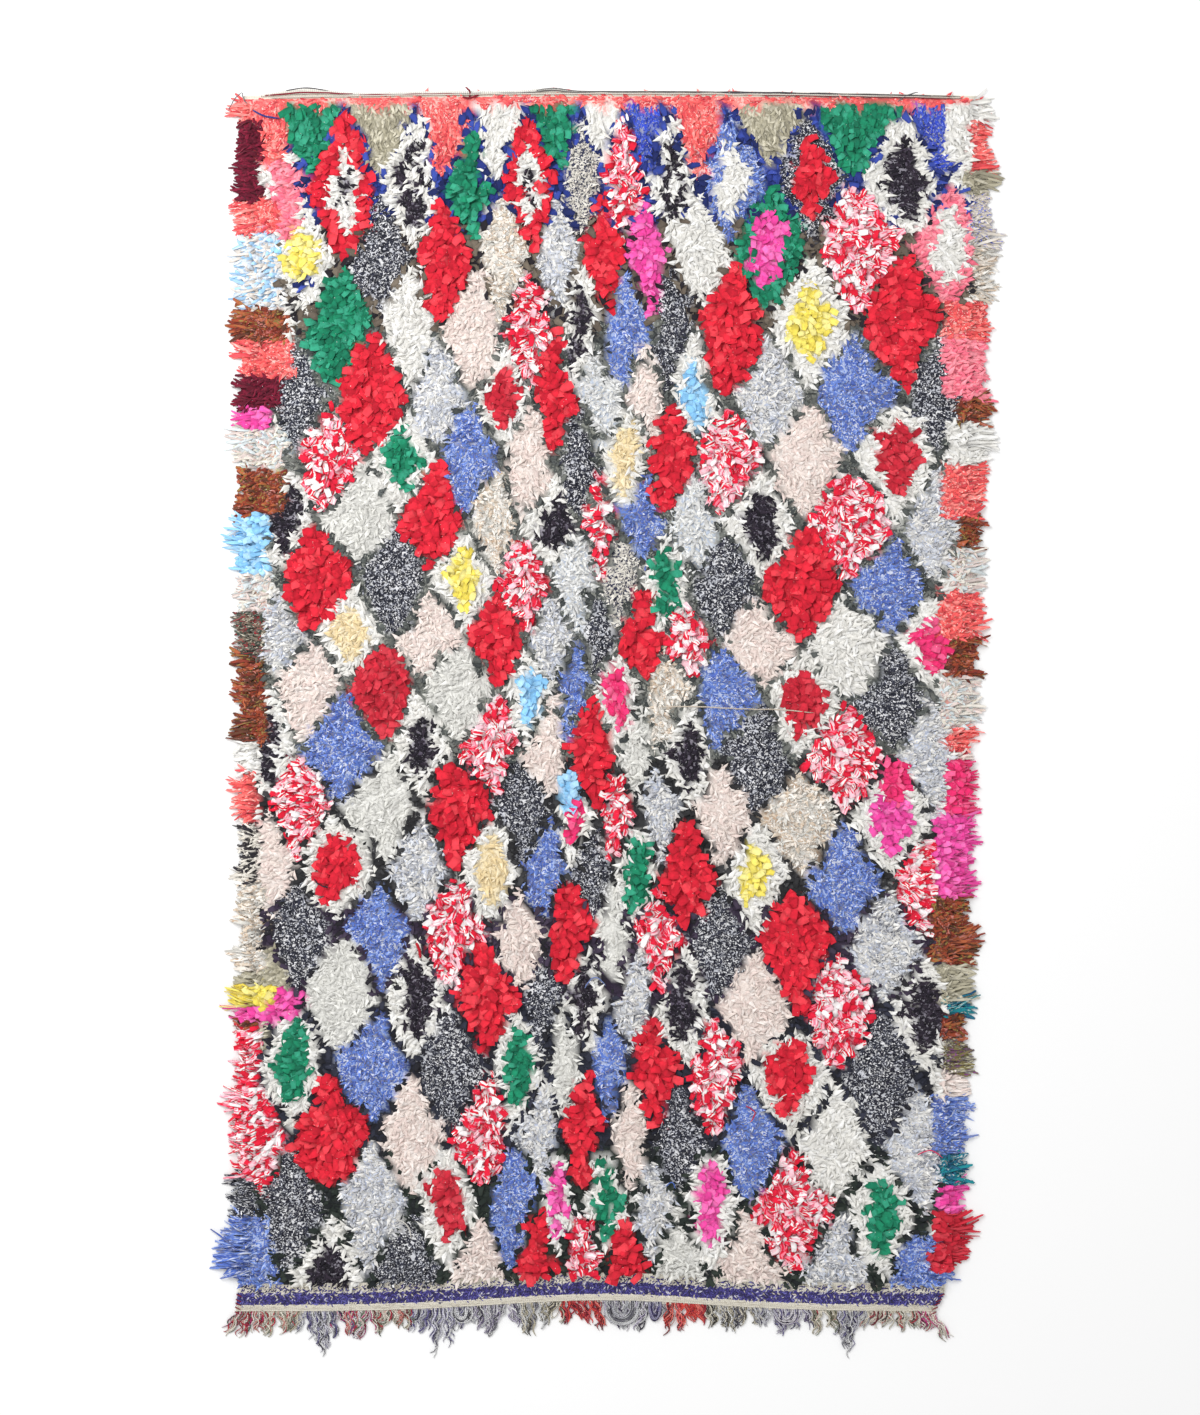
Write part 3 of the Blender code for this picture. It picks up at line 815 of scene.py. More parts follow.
def tintKnots(number, chance):
    # each strip's tints, drawn from its cloth's
    count = len(number)
    tint, printTint = np.ones((count, 4)), np.ones((count, 4))
    share, size = np.zeros(count), np.ones(count)
    for index, cloth in enumerate(cloths.values()):
        here = np.nonzero(number == index)[0]
        for table, tints in ((tint, cloth["tints"]), (printTint, cloth["prints"])):
            table[here, :3] = sceneColour(tints)[chance.integers(0, len(tints), len(here))]
        share[here] = cloth["share"]
        size[here] = cloth["size"]
    shade = 1 + 0.1 * chance.uniform(-1, 1, (count, 1))
    tint[:, :3] *= shade
    printTint[:, :3] *= shade
    return {"tint": tint, "printTint": printTint, "printShare": share,
            "size": np.repeat(size[:, None], 3, axis=1), "chance": chance.uniform(0, 1, count)}


def pileKnots(pile, shape):
    # a jittered grid of knots, kept where this pile's cloths are
    chance = np.random.default_rng(shape["gridSeed"])
    step = shape["spacing"]
    columns = np.arange(-0.775, 0.775, step)
    rows = np.arange(rugEnds["pileTop"] + 0.007, rugEnds["bandTop"] - 0.01, -step)
    x, y = [part.ravel() for part in np.meshgrid(columns, rows)]
    x = x + np.where(np.round((rugEnds["pileTop"] - y) / step) % 2 > 0, 0.5, 0.0) * step
    x = x + chance.uniform(-0.4, 0.4, len(x)) * step
    y = y + chance.uniform(-0.4, 0.4, len(y)) * step
    worn = pileLayout["edge"] + 0.016 * np.clip(noiseAt(0.02, 17, x, y) * 2, 0, 1)
    kept = (x > edgeAt("left", y) + worn) & (x < edgeAt("right", y) - worn)
    overHem = 0.0075 - 0.009 * noiseAt(0.035, 23, x)  # here and there the first row covers the hem
    kept &= (y > rugEnds["bandTop"] + bandRaise(x) - 0.002) & (y < hemLine(x, overHem))
    x, y = x[kept], y[kept]
    # strips fall down the rug, outwards near its long edges, and out from their own lozenge's middle
    fromMiddle = x + 0.03
    sway = pileLayout["sway"]
    swing = np.sign(fromMiddle) * smooth(np.abs(fromMiddle), 0.0, sway)
    swing = np.where(np.abs(swing) < 0.5, chance.choice([-1, 1], len(x)) * 0.7, swing)
    outward = smooth(np.abs(fromMiddle), sway, 0.68)
    atTop = smooth(y, pileLayout["topPlace"], pileLayout["topPlace"] + 0.1)
    sideOut, upOut = lozengeAt(x, y)[5:]
    own = shape["own"] * (1 - outward) * (1 - atTop) / (np.hypot(sideOut, upOut) + 0.008)
    ahead = swing * (0.9 + 1.6 * outward) * (1 - atTop) + own * sideOut
    up = -np.where(atTop > 0.5, 1.0, shape["down"]) * (1.0 - 0.75 * outward) + own * upOut
    spread = shape["spread"] * (1 - outward) + pileLayout["edgeSpread"] * outward
    spread = spread * (1 - atTop) + pileLayout["topSpread"] * atTop
    heading = np.arctan2(up, ahead) + chance.normal(0, 1, len(x)) * spread
    alongHem = chance.choice([0, np.pi], len(x)) + chance.normal(-0.15, 0.35, len(x))
    heading = np.where(y > rugEnds["coralRow"] + 0.008, alongHem, heading)
    reach = 0.45 * shape["length"]
    number = clothAt(x + reach * np.cos(heading), y + reach * np.sin(heading))
    knots = tintKnots(number, chance)
    height = cadTop(x, y) - pileLayout["knots"] + shape["stand"]
    height += chance.uniform(-1, 1, len(x)) * shape["heightSpread"]
    middle, width, depth = pileLayout["gather"]
    height -= depth * bell(x - middle - 0.012 * noiseAt(0.25, 19, y), 0.0, width)
    knots.update(heading=heading, place=spots(x, y, height))
    mine = np.array([cloth["pile"] == pile for cloth in cloths.values()])[number]
    return {key: value[mine] for key, value in knots.items()}


stripShape = dict(section=flatSection, pointed=False, smooth=False, rings=3, lean=0.0, drop=0.0)
jerseyPile = dict(  # wide strips of T-shirt jersey with square ends
    stripShape, spacing=0.0092, gridSeed=11, seed=21, kinds=20, rings=4, length=0.0245, width=0.0142,
    thickness=0.0015, rise=0.003, tipHeight=(0.001, 0.0055), bend=0.22, crinkle=0.0009, twist=0.5,
    tip=0.92, lean=-0.04, leanSpread=0.14, rollSpread=0.22, sizeSpread=0.22, stand=0.0002,
    heightSpread=0.0012, own=1.0, down=0.9, spread=1.1, creases=1.3, sideShade=0.18, lift=1.12)
stripedPile = dict(
    jerseyPile, seed=26, spacing=0.0086, width=0.01, length=0.02, creases=1.4, printLength=1.3,
    printWidth=1.5)
palePile = dict(  # narrow plain strips
    stripShape, spacing=0.007, gridSeed=12, seed=22, kinds=30, section=roundSection, pointed=True,
    length=0.0162, width=0.0074, thickness=0.0009, rise=0.0016, tipHeight=(-0.0004, 0.002), bend=0.75,
    crinkle=0.0013, twist=0.6, tip=0.7, lean=-0.03, leanSpread=0.14, rollSpread=0.4, sizeSpread=0.28,
    stand=0.0008, heightSpread=0.001, own=0.25, down=0.28, spread=0.95, creases=1.8, rootShade=0.18,
    sideShade=0.12, lift=1.03, creaseShade=0.28)
mixedPile = dict(palePile, seed=25, rootShade=0.3, sideShade=0.18, lift=1.1)
printPile = dict(
    palePile, seed=23, spacing=0.0072, rootShade=0.3, sideShade=0.15, lift=1.06, creaseShade=0.3)
outlinePile = dict(
    palePile, seed=24, spacing=0.0092, section=flatSection, pointed=False, width=0.01, length=0.019,
    bend=0.3, stand=-0.0008, own=0.0, down=1.0, creases=1.6, rootShade=0.35, sideShade=0.3, lift=1.2,
    creaseShade=0.3)
pileShapes = {"jersey": jerseyPile, "striped": stripedPile, "pale": palePile, "mixed": mixedPile,
              "print": printPile, "outline": outlinePile}

pilePieces = []
for pile, shape in pileShapes.items():
    material = ragMaterial(f"{pile} rag cloth", dict(clothFinish, **shape))
    pilePieces.append(scatterStrips(f"pile_{pile}", pileKnots(pile, shape), shape, material))

rimRags = dict(  # strips that lie outwards over both long edges
    stripShape, pitch=0.0013, gridSeed=31, seed=32, kinds=16, rings=5, length=0.03, width=0.0068,
    thickness=0.0012, rise=0.0016, tipHeight=(0.0, 0.0), drop=0.009, bend=0.28, crinkle=0.001,
    twist=0.8, tip=0.55, leanSpread=0.02, rollSpread=0.5, sizeSpread=0.04, spread=0.22, root=0.0015,
    out=0.011, outSpread=0.008, floor=0.0022, inset=0.026,
    tuft=0.013, pull=0.55)  # rags hang together in tufts this far apart
longTufts = [  # side, place, how much further out the rags hang there, half length
    (1, 1.096, 0.032, 0.015), (1, 0.6, 0.014, 0.06), (1, -0.25, 0.014, 0.06),
    (1, -0.45, 0.028, 0.04), (1, -0.56, 0.026, 0.016), (1, -1.03, 0.022, 0.05),
    (-1, 0.8, 0.016, 0.034), (-1, 0.36, 0.012, 0.03),
    (-1, -0.56, 0.02, 0.02), (-1, -0.8, 0.012, 0.08), (-1, -1.06, 0.04, 0.045),
]


def rimKnots(shape):
    chance = np.random.default_rng(shape["gridSeed"])
    sides = []
    for side, rags, name in ((-1, leftRags, "left"), (1, rightRags, "right")):
        y = np.arange(rugEnds["bandTop"] + 0.012, rugEnds["pileTop"] - 0.006, shape["pitch"])
        y = y + chance.uniform(-1, 1, len(y)) * shape["pitch"]
        number, depth = ragAt(rags, y + 0.006 * noiseAt(0.02, 3, y))
        inset = shape["inset"] * chance.uniform(0.05, 1.0, len(y))
        reach = shape["out"] + shape["outSpread"] * chance.uniform(-1, 1, len(y))
        tuft = np.floor(y / shape["tuft"])
        tuftChance = chance.uniform(0, 1, 400)[tuft.astype(int) % 400]
        reach *= 0.2 + 1.9 * tuftChance * (0.6 + 0.8 * np.clip(0.5 + noiseAt(0.05, side * 7, y), 0, 1))
        pull = shape["pull"] * ((tuft + 0.2 + 0.6 * tuftChance) * shape["tuft"] - y)
        for tuftSide, place, extra, half in longTufts:
            if tuftSide == side:
                reach += extra * bell(y, place, half) * chance.uniform(0.5, 1, len(y))
        x = edgeAt(name, y) - side * inset
        height = cadTop(x, y) - shape["root"] - 0.004 * smooth(inset, 0.03, 0.0)
        heading = np.arctan2(pull, side * (inset + reach) * 0.6)
        heading += chance.normal(0, 1, len(y)) * shape["spread"]
        knots = tintKnots(number, chance)
        knots["size"][:, 0] = (inset + reach) / shape["length"]
        knots["size"][:, 1] *= chance.uniform(0.55, 1.15, len(y))
        knots["size"][:, 2] = (height - shape["floor"]) / shape["drop"]
        knots.update(heading=heading, place=spots(x, y, height))
        sides.append(knots)
    return {key: np.concatenate([part[key] for part in sides]) for key in sides[0]}


rimMaterial = ragMaterial("edge rag cloth", dict(clothFinish, creases=2.0))
rim = scatterStrips("rim_rags", rimKnots(rimRags), rimRags, rimMaterial)

clothSheet = {  # the woven ground: its grid, and what shows between and beyond the pile
    "columns": 72,
    "pileRows": 112,
    "bandRows": 16,
    "rimHeight": 0.006,
    "edgeHeight": 0.0042,  # of the hem and the end band
    # painted shade: the bed between the strips is made a little darker than its cloth
    "bedShade": 0.95,
}


def sheetRows():
    # how far up each row of the ground's grid lies, its kind (0 hem, 1 pile, 2 band) and height
    hem, bottom, height = rugEnds["hem"], rugEnds["bandTop"], clothSheet["edgeHeight"]
    rows = [(hem, 0, 0.001), (hem - 0.0007, 0, 0.003), (hem - 0.003, 0, height), (hem - 0.008, 0, height)]
    for y in np.linspace(hem - rugEnds["hemDepth"], bottom, clothSheet["pileRows"] + 1):
        rows.append((y, 1, 0.0))
    for y in np.linspace(bottom - 0.004, rugEnds["bandEdge"] + 0.001, clothSheet["bandRows"]):
        rows.append((y, 2, height))
    return rows + [(rugEnds["bandEdge"], 2, 0.0012)]


def sheetPoints(rows):
    grid = []
    fieldTop, rimHeight = rugEnds["fieldTop"], clothSheet["rimHeight"]
    for y0, kind, z in rows:
        left, right = edgeAt("left", y0), edgeAt("right", y0)
        x = left + (right - left) * np.linspace(0, 1, clothSheet["columns"] + 1)
        down = (fieldTop - y0) / (fieldTop - rugEnds["fieldBottom"])
        up = np.clip((y0 - fieldTop) / (rugEnds["hem"] - fieldTop), 0, 1)
        y = y0 + bandRaise(x) * np.clip(down, 0, 1) ** rugEnds["waveFade"] - hemDrop(x) * up
        if kind == 1:
            z = cadTop(x * 0.999, y) - pileLayout["bed"]
            near = np.minimum(rugEnds["hem"] - y0, y0 - rugEnds["bandTop"])
            z = np.maximum(rimHeight + (z - rimHeight) * smooth(near, 0.0, 0.03), 0.0035)
            z[0] = z[-1] = rimHeight
        grid.append(spots(x, y, z))
    return np.array(grid)


def groundMesh():
    rows = sheetRows()
    top = sheetPoints(rows)
    count, wide = top.shape[:2]
    over = np.arange(count * wide).reshape(count, wide)
    under = over + count * wide
    faces, slots, corners = [], [], []

    def addFace(points, u, v, slot, flip):
        # a face with four corners, and its place in the bake map
        step = -1 if flip else 1
        faces.append(points[::step])
        corners.extend([(u[0], v[0]), (u[0], v[1]), (u[1], v[1]), (u[1], v[0])][::step])
        slots.append(slot)

    def across(c, shift=0.0):
        return [shift + 0.01 + 0.47 * (c + n) / wide for n in (0, 1)]

    for r in range(count - 1):
        kind = max(rows[r][1], rows[r + 1][1]) if rows[r][1] else 0
        v = [0.02 + 0.96 * (r + n) / count for n in (0, 1)]
        for c in range(wide - 1):
            for grid, shift, slot in ((over, 0.0, [1, 0, 2][kind]), (under, 0.5, 3)):
                points = [grid[r, c], grid[r + 1, c], grid[r + 1, c + 1], grid[r, c + 1]]
                addFace(points, across(c, shift), v, slot, shift > 0)
        for c, u in ((0, 0.49), (wide - 1, 0.496)):
            points = [over[r, c], over[r + 1, c], under[r + 1, c], under[r, c]]
            addFace(points, (u, u + 0.004), v, [1, 0, 2][kind], c == 0)
    for r, v, slot in ((0, 0.004, 1), (count - 1, 0.99, 2)):
        for c in range(wide - 1):
            points = [over[r, c], under[r, c], under[r, c + 1], over[r, c + 1]]
            addFace(points, across(c), (v, v + 0.006), slot, r == 0)
    points = np.concatenate([top.reshape(-1, 3), top.reshape(-1, 3) * [1, 1, 0]])
    mesh = newMesh("woven_ground", points, faces, corners, True)
    mesh.polygons.foreach_set("material_index", slots)
    x, y = points[:, 0], points[:, 1]
    tints = tintKnots(clothAt(x, y), np.random.default_rng(41))
    for name in ("tint", "printTint"):
        keepField(mesh, name, tints[name])
    keepField(mesh, "fromEdge", y - rugEnds["bandEdge"] - bandRaise(x))
    return mesh


def bedMaterial():
    # the knots' rows at the foot of the pile
    material, maker, shader = newMaterial("knotted ground", 0.95, 0.05)
    place = maker.place()
    lumps = maker.noise(place, 260.0)
    pick = maker.ramp(maker.noise(place, 170.0, 1.0), 0.45, 0.55)
    colour = maker.mix(pick, maker.tint("tint"), maker.tint("printTint"))
    # painted shade: the bed is darkened as if the pile above shaded it
    colour = maker.shaded(colour, clothSheet["bedShade"] * (0.7 + lumps * 0.6))
    dress(maker, shader, colour, 0.9 + lumps * 0.1, 0.9, 0.002, lumps)
    return material


def undersideMaterial():
    # plain weave, weft over and under warp by turns, with the knots' colours showing through
    material, maker, shader = newMaterial("woven back", 0.95, 0.05)
    place = maker.place()
    split = maker.node("ShaderNodeSeparateXYZ", sockets={0: place})
    weave = (split * (math.pi / 0.006)).sine() * (split.out(1) * (math.pi / 0.005)).sine()
    knots = maker.ramp(maker.noise(place, 120.0, 1.0), 0.42, 0.52)
    colour = maker.mix(knots, (0.5, 0.46, 0.4, 1.0), maker.tint("tint"))
    colour = maker.shaded(colour, 0.8 + weave * 0.12 + maker.noise(place, 400.0) * 0.2)
    dress(maker, shader, colour, 0.9 + weave * 0.05, 0.8, 0.001, weave)
    return material


bandCloth = {
    "cream": (240, 234, 219),
    "shadow": (206, 198, 182),
    "indigo": (76, 68, 146),
    "deep": (54, 48, 98),
    "violet": (108, 104, 178),
    "pale": (206, 204, 218),
    "plain": 0.014,  # the plain cream band ends this far from the cloth's edge
    "twined": 0.04,  # and the indigo stripe here
    "fleck": 0.56,
    "warp": 0.0048,
    "weft": 0.003,
}


def bandMaterial(name):
    material, maker, shader = newMaterial(name, 0.92, 0.1)
    place = maker.place()
    split = maker.node("ShaderNodeSeparateXYZ", sockets={0: place})
    fromEdge = maker.value("fromEdge")
    lines = (fromEdge * (2 * math.pi / bandCloth["weft"])).sine()
    warps = (split * (2 * math.pi / bandCloth["warp"])).sine()
    weave = lines * 0.7 + lines * warps * 0.3
    fuzz = maker.noise(place, 500.0, 3.0)
    stained = maker.ramp(maker.noise(place, 14.0), 0.35, 0.7)
    cream, shadow, indigo, deep = (
        sceneTint(bandCloth[yarn]) for yarn in ("cream", "shadow", "indigo", "deep"))
    uneven = fromEdge + (maker.noise(place, 150.0) - 0.5) * 0.014
    plain, twined = (
        maker.ramp(uneven, bandCloth[end] - 0.001, bandCloth[end] + 0.001) for end in ("plain", "twined"))
    stretch = maker.vectorMath("MULTIPLY", place, (330.0, 620.0, 330.0))
    fleck = maker.ramp(maker.noise(stretch, 1.0), bandCloth["fleck"], bandCloth["fleck"] + 0.3)
    dark = maker.ramp(maker.noise(stretch, 0.6), 0.44, 0.52)
    colour = maker.mix(plain * (1 - twined), maker.mix(stained * 0.3, cream, shadow),
                       maker.mix(fleck, maker.mix(dark, deep, indigo), shadow))
    colour = maker.shaded(colour, 0.9 + weave * 0.1 + fuzz * 0.16)
    dress(maker, shader, colour, 0.88 + fuzz * 0.1, 0.8, 0.0008, weave + fuzz * 0.4)
    return material


ground = addObject("woven_ground", groundMesh())
for material in (bedMaterial(), bandMaterial("hem cloth"), bandMaterial("end band cloth"),
                 undersideMaterial()):
    ground.data.materials.append(material)
print("woven ground: pile bed, end band, hem and underside")


def yarn(path, radius, tint, printTint=None, share=0.0, chance=0.5):
    first = sceneTint(tint)
    second = first if printTint is None else sceneTint(printTint)
    return {"path": path, "radius": radius, "tint": first, "printTint": second,
            "printShare": share, "chance": chance}


def yarnPiece(name, yarns, sides, material):
    # closed tubes along points, each in its own cell of the bake map
    cells = math.ceil(math.sqrt(len(yarns)))
    points, faces, corners = [], [], []
    fields = {key: [] for key in ("along", "across", "chance", "printShare", "tint", "printTint")}
    angles = np.arange(sides) / sides * 2 * np.pi
    first = 0
    for order, yarn in enumerate(yarns):
        path = np.array(yarn["path"], float)
        rings = len(path)
        side, up = directions(path, [0.01, 0.02, 1.0], 1e-9)
        sizes = np.interp(np.linspace(0, 1, rings), [0, 0.08, 0.85, 1], [0.7, 1, 1, 0.45])
        radius = (yarn["radius"] * sizes)[:, None]
        ring = (path[:, None] + side[:, None] * (np.cos(angles) * radius)[:, :, None]
                + up[:, None] * (np.sin(angles) * radius)[:, :, None])
        points.append(ring.reshape(-1, 3))
        steps = np.linalg.norm(np.diff(path, axis=0), axis=1)
        run = np.concatenate([[0], np.cumsum(steps)])
        fields["along"] += np.repeat(run, sides).tolist()
        fields["across"] += np.tile(np.cos(angles), rings).tolist()
        for key in ("chance", "printShare", "tint", "printTint"):
            fields[key] += [yarn[key]] * (rings * sides)
        own, ownCorners = tubeFaces(rings, sides, False)
        faces += [[first + point for point in face] for face in own]
        corners.append((np.array(ownCorners) + [order % cells, order // cells]) / cells)
        first += rings * sides
    mesh = newMesh(name, np.concatenate(points), faces, np.concatenate(corners), True)
    for key, values in fields.items():
        keepField(mesh, key, values)
    mesh.materials.append(material)
    tell(name, mesh, len(yarns), "yarns")
    return addObject(name, mesh)


yarnFinish = {
    "roughness": 0.92,
    "sheen": 0.12,
    "ply": 0.0042,  # length of one turn of the plies
    "bump": 0.0007,
    "fleck": 90.0,
}


def yarnMaterial(name, finish):
    material, maker, shader = newMaterial(name, finish["roughness"], finish["sheen"])
    turn = maker.value("along") * (2 * math.pi / finish["ply"]) + maker.value("across") * 1.4
    ply = turn.sine()
    fuzz = maker.noise(maker.place(), 600.0, 3.0)
    colour = printColour(maker, stripSpot(maker, finish["fleck"], 0.5), 0.04)
    colour = maker.shaded(colour, 0.82 + ply * 0.1 + fuzz * 0.36 - 0.02)
    dress(maker, shader, colour, 0.86 + fuzz * 0.12, 0.8, finish["bump"], ply + fuzz * 0.5)
    return material


yarnLook = yarnMaterial("plied yarn", yarnFinish)

fringe = {
    "left": -0.751, "right": 0.647, "count": 1080, "seed": 51, "points": 14, "sides": 3,
    "radius": 0.0016, "radiusSpread": 0.0005, "length": 0.03, "lengthSpread": 0.01,
    "root": 0.004, "rootHeight": 0.0048, "floor": 0.0018,
    "wave": 0.0046, "waveLength": 0.024, "waveSize": 0.022,  # neighbours curl alike
    "loops": 0.3, "loopRise": 0.0058,  # share of the yarns that turn back up, and how far
    "lean": 0.022, "leanSize": 0.05, "fan": 0.04, "fanWidth": 0.06, "pull": 0.36,
    "tuft": 0.021, "tuftPull": 0.8, "tuftLean": 0.014, "tuftLength": 0.01, "hump": 0.0036,
}
fringeSkeins = [  # loops that hang in a bow: middle, half width, drop, yarns, kind
    (0.02, 0.034, 0.044, 30, "grey"), (0.087, 0.015, 0.04, 14, "indigoGrey"),
    (-0.3, 0.022, 0.03, 12, "grey"), (0.35, 0.026, 0.028, 14, "greyPurple"),
]
fringeClumps = [  # middle, how much longer its yarns are, half width
    (-0.74, 0.014, 0.03), (-0.584, 0.048, 0.02), (-0.52, 0.01, 0.03), (-0.343, 0.06, 0.018),
    (-0.24, 0.014, 0.02), (-0.16, 0.024, 0.03), (-0.01, 0.016, 0.06), (0.075, 0.016, 0.016),
    (0.13, 0.028, 0.012), (0.23, 0.022, 0.025), (0.35, 0.016, 0.03), (0.479, 0.054, 0.016),
    (0.64, 0.014, 0.02),
]
# the near-black last tints of the grey, purple and khaki kinds are partly dark yarn, partly painted shade
# for the gaps between strands
fringeYarns = {
    "magenta": [(202, 66, 136), (226, 214, 208), (150, 40, 96), (66, 110, 90)],
    "mixed": [(232, 226, 214), (206, 198, 184), (128, 136, 118), (178, 64, 78)],
    "redMixed": [(228, 220, 208), (190, 56, 68), (222, 150, 140), (120, 36, 50)],
    "indigoGrey": [(216, 214, 224), (156, 152, 182), (96, 88, 140), (56, 48, 86)],
    "grey": [(226, 226, 226), (180, 180, 186), (116, 114, 124), (62, 60, 70)],
    "greyPurple": [(226, 222, 226), (180, 172, 192), (112, 100, 136), (54, 46, 68)],
    "khaki": [(226, 219, 202), (184, 176, 154), (114, 108, 88), (60, 56, 52)],
    "coralRed": [(228, 84, 76), (244, 132, 120), (200, 56, 56), (128, 40, 44)],
    "darkRed": [(166, 48, 64), (210, 84, 92), (228, 192, 186), (112, 34, 48)],
}
fringeShares = [0.42, 0.26, 0.18, 0.14]  # how much of each is used
fringeZones = [  # the kinds of yarn from here to the right
    (-0.8, ["magenta", "mixed", "redMixed"]), (-0.7, ["mixed", "redMixed", "khaki", "mixed"]),
    (-0.62, ["indigoGrey", "grey", "indigoGrey"]), (-0.55, ["mixed", "redMixed", "greyPurple", "magenta"]),
    (-0.47, ["mixed", "khaki", "redMixed"]), (-0.4, ["indigoGrey", "grey"]),
    (-0.29, ["grey", "greyPurple"]), (-0.18, ["khaki", "khaki", "grey"]), (-0.1, ["coralRed", "darkRed"]),
    (-0.02, ["grey", "greyPurple"]), (0.11, ["coralRed", "darkRed", "coralRed"]), (0.19, ["khaki", "grey"]),
    (0.3, ["grey", "greyPurple", "indigoGrey"]), (0.4, ["khaki", "mixed"]),
    (0.45, ["indigoGrey", "grey"]), (0.51, ["mixed", "redMixed", "khaki"]), (0.61, ["magenta", "mixed"]),
]


def clothEdge(x):
    return rugEnds["bandEdge"] + bandRaise(x)


def fringeYarn(path, kind, chance):
    tints = fringeYarns[kind]
    first, second = chance.choice(len(tints), 2, p=fringeShares)
    tint = np.clip(np.array(tints[first]) * chance.uniform(0.88, 1.08), 0, 255)
    radius = fringe["radius"] + fringe["radiusSpread"] * chance.uniform(-1, 1)
    return yarn(path, radius, tint, tints[second], 0.25, chance.uniform())


def fringePaths(look):
    chance = np.random.default_rng(look["seed"])
    tuftChance = chance.uniform(-1, 1, 200)
    left, right, floor, root, hump = (look[key] for key in ("left", "right", "floor", "root", "hump"))
    found = []
    for number in range(look["count"]):
        x0 = left + (right - left) * chance.uniform(0.002, 0.998)
        length = look["length"] + look["lengthSpread"] * chance.uniform(-1, 1)
        lean = look["lean"] * noise.noise((x0 / look["leanSize"], 0.0, 0.0))
        for place, extra, half in fringeClumps:
            near = bell(x0, place, half)
            length += extra * near * chance.uniform(0.45, 1.0)
            lean += look["pull"] * near * (place - x0)
        tuft = math.floor(x0 / look["tuft"])
        lean += look["tuftPull"] * ((tuft + 0.5) * look["tuft"] - x0)
        lean += look["tuftLean"] * tuftChance[tuft % 200]
        length += look["tuftLength"] * tuftChance[(tuft + 97) % 200]
        lean -= look["fan"] * max(0.0, 1 - (x0 - left) / look["fanWidth"]) ** 2
        lean += look["fan"] * max(0.0, 1 - (right - x0) / look["fanWidth"]) ** 2
        lean += chance.normal(0, 0.004)
        s = np.linspace(0, 1, look["points"])
        turns = (length / look["waveLength"]) ** 0.8 * chance.uniform(0.9, 1.1)
        phase = 9.0 * noise.noise((x0 / look["waveSize"], 3.0, 0.0)) + chance.normal(0, 0.45)
        swing = look["wave"] * chance.uniform(0.6, 1.4) * np.clip(s * 3, 0, 1)
        spin = 2 * np.pi * turns * s + phase
        rise = look["loopRise"] * (chance.uniform() < look["loops"]) * np.clip(s * 3, 0, 1)
        x = x0 + lean * s**1.2 + swing * np.sin(spin)
        y = clothEdge(x0) + root - (length + root) * s + rise * np.cos(spin)
        start = look["rootHeight"] + chance.uniform(-0.001, 0.0005)
        z = floor + (start - floor) * (1 - s) ** 1.5
        z = z + hump * chance.uniform(0, 1) * np.sin(np.pi * s) * (1 + np.sin(spin)) / 2
        kinds = [kind for place, kind in fringeZones if x0 >= place][-1]
        found.append(fringeYarn(spots(x, y, z), kinds[chance.integers(0, len(kinds))], chance))
    t = np.linspace(0, np.pi, look["points"])
    for middle, half, drop, count, kind in fringeSkeins:
        for number in range(count):
            size = chance.uniform(0.25, 1.0)
            x = middle + half * size * np.cos(t) * (1 + 0.15 * np.sin(t)) + chance.normal(0, 0.001)
            fall = drop * (0.3 + 0.7 * size) + root
            y = clothEdge(middle) + root - fall * np.sin(t) ** 0.8
            z = floor + 0.003 * (1 - np.sin(t)) + hump * chance.uniform(0.4, 1.4) * np.sin(t)
            x = x + 0.0012 * np.sin(3 * t + chance.uniform(0, 6))
            found.append(fringeYarn(spots(x, y, z), kind, chance))
    return found


fringePiece = yarnPiece("yarn_fringe", fringePaths(fringe), fringe["sides"], yarnLook)

bandStitches = dict(  # the twined rows of the end band: slanting stitches of many yarns
    stripShape, seed=61, kinds=6, section=roundSection, smooth=True, length=0.008, width=0.0034,
    thickness=0.001, rise=0.0014, crinkle=0.0003, tipHeight=(-0.0002, 0.0002), bend=0.1, twist=0.15,
    tip=0.55, leanSpread=0.08, rollSpread=0.3, sizeSpread=0.3, height=0.0042)
# distance from the cloth's edge, slant, pitch, share of a full length, yarns that it is worked in
stitchRows = [
    (0.053, 0.6, 0.007, 0.9, "indigo violet cream deep shadow"),
    (0.048, -0.5, 0.0052, 0.9, "deep indigo shadow cream indigo"),
    (0.044, 0.5, 0.006, 0.8, "deep indigo"),
    (0.0425, 0.1, 0.0062, 0.6, "cream"),
    (0.0375, 0.8, 0.0044, 1.0, "indigo deep indigo violet pale"),
    (0.033, -0.8, 0.0044, 1.0, "indigo indigo deep violet shadow"),
    (0.0285, 0.85, 0.0044, 1.0, "indigo indigo deep violet pale"),
    (0.024, -0.8, 0.0044, 1.0, "indigo deep violet indigo pale"),
    (0.0195, 0.8, 0.0044, 1.0, "indigo violet indigo deep shadow"),
    (0.0155, -0.7, 0.0075, 0.9, "indigo violet shadow cream"),
]


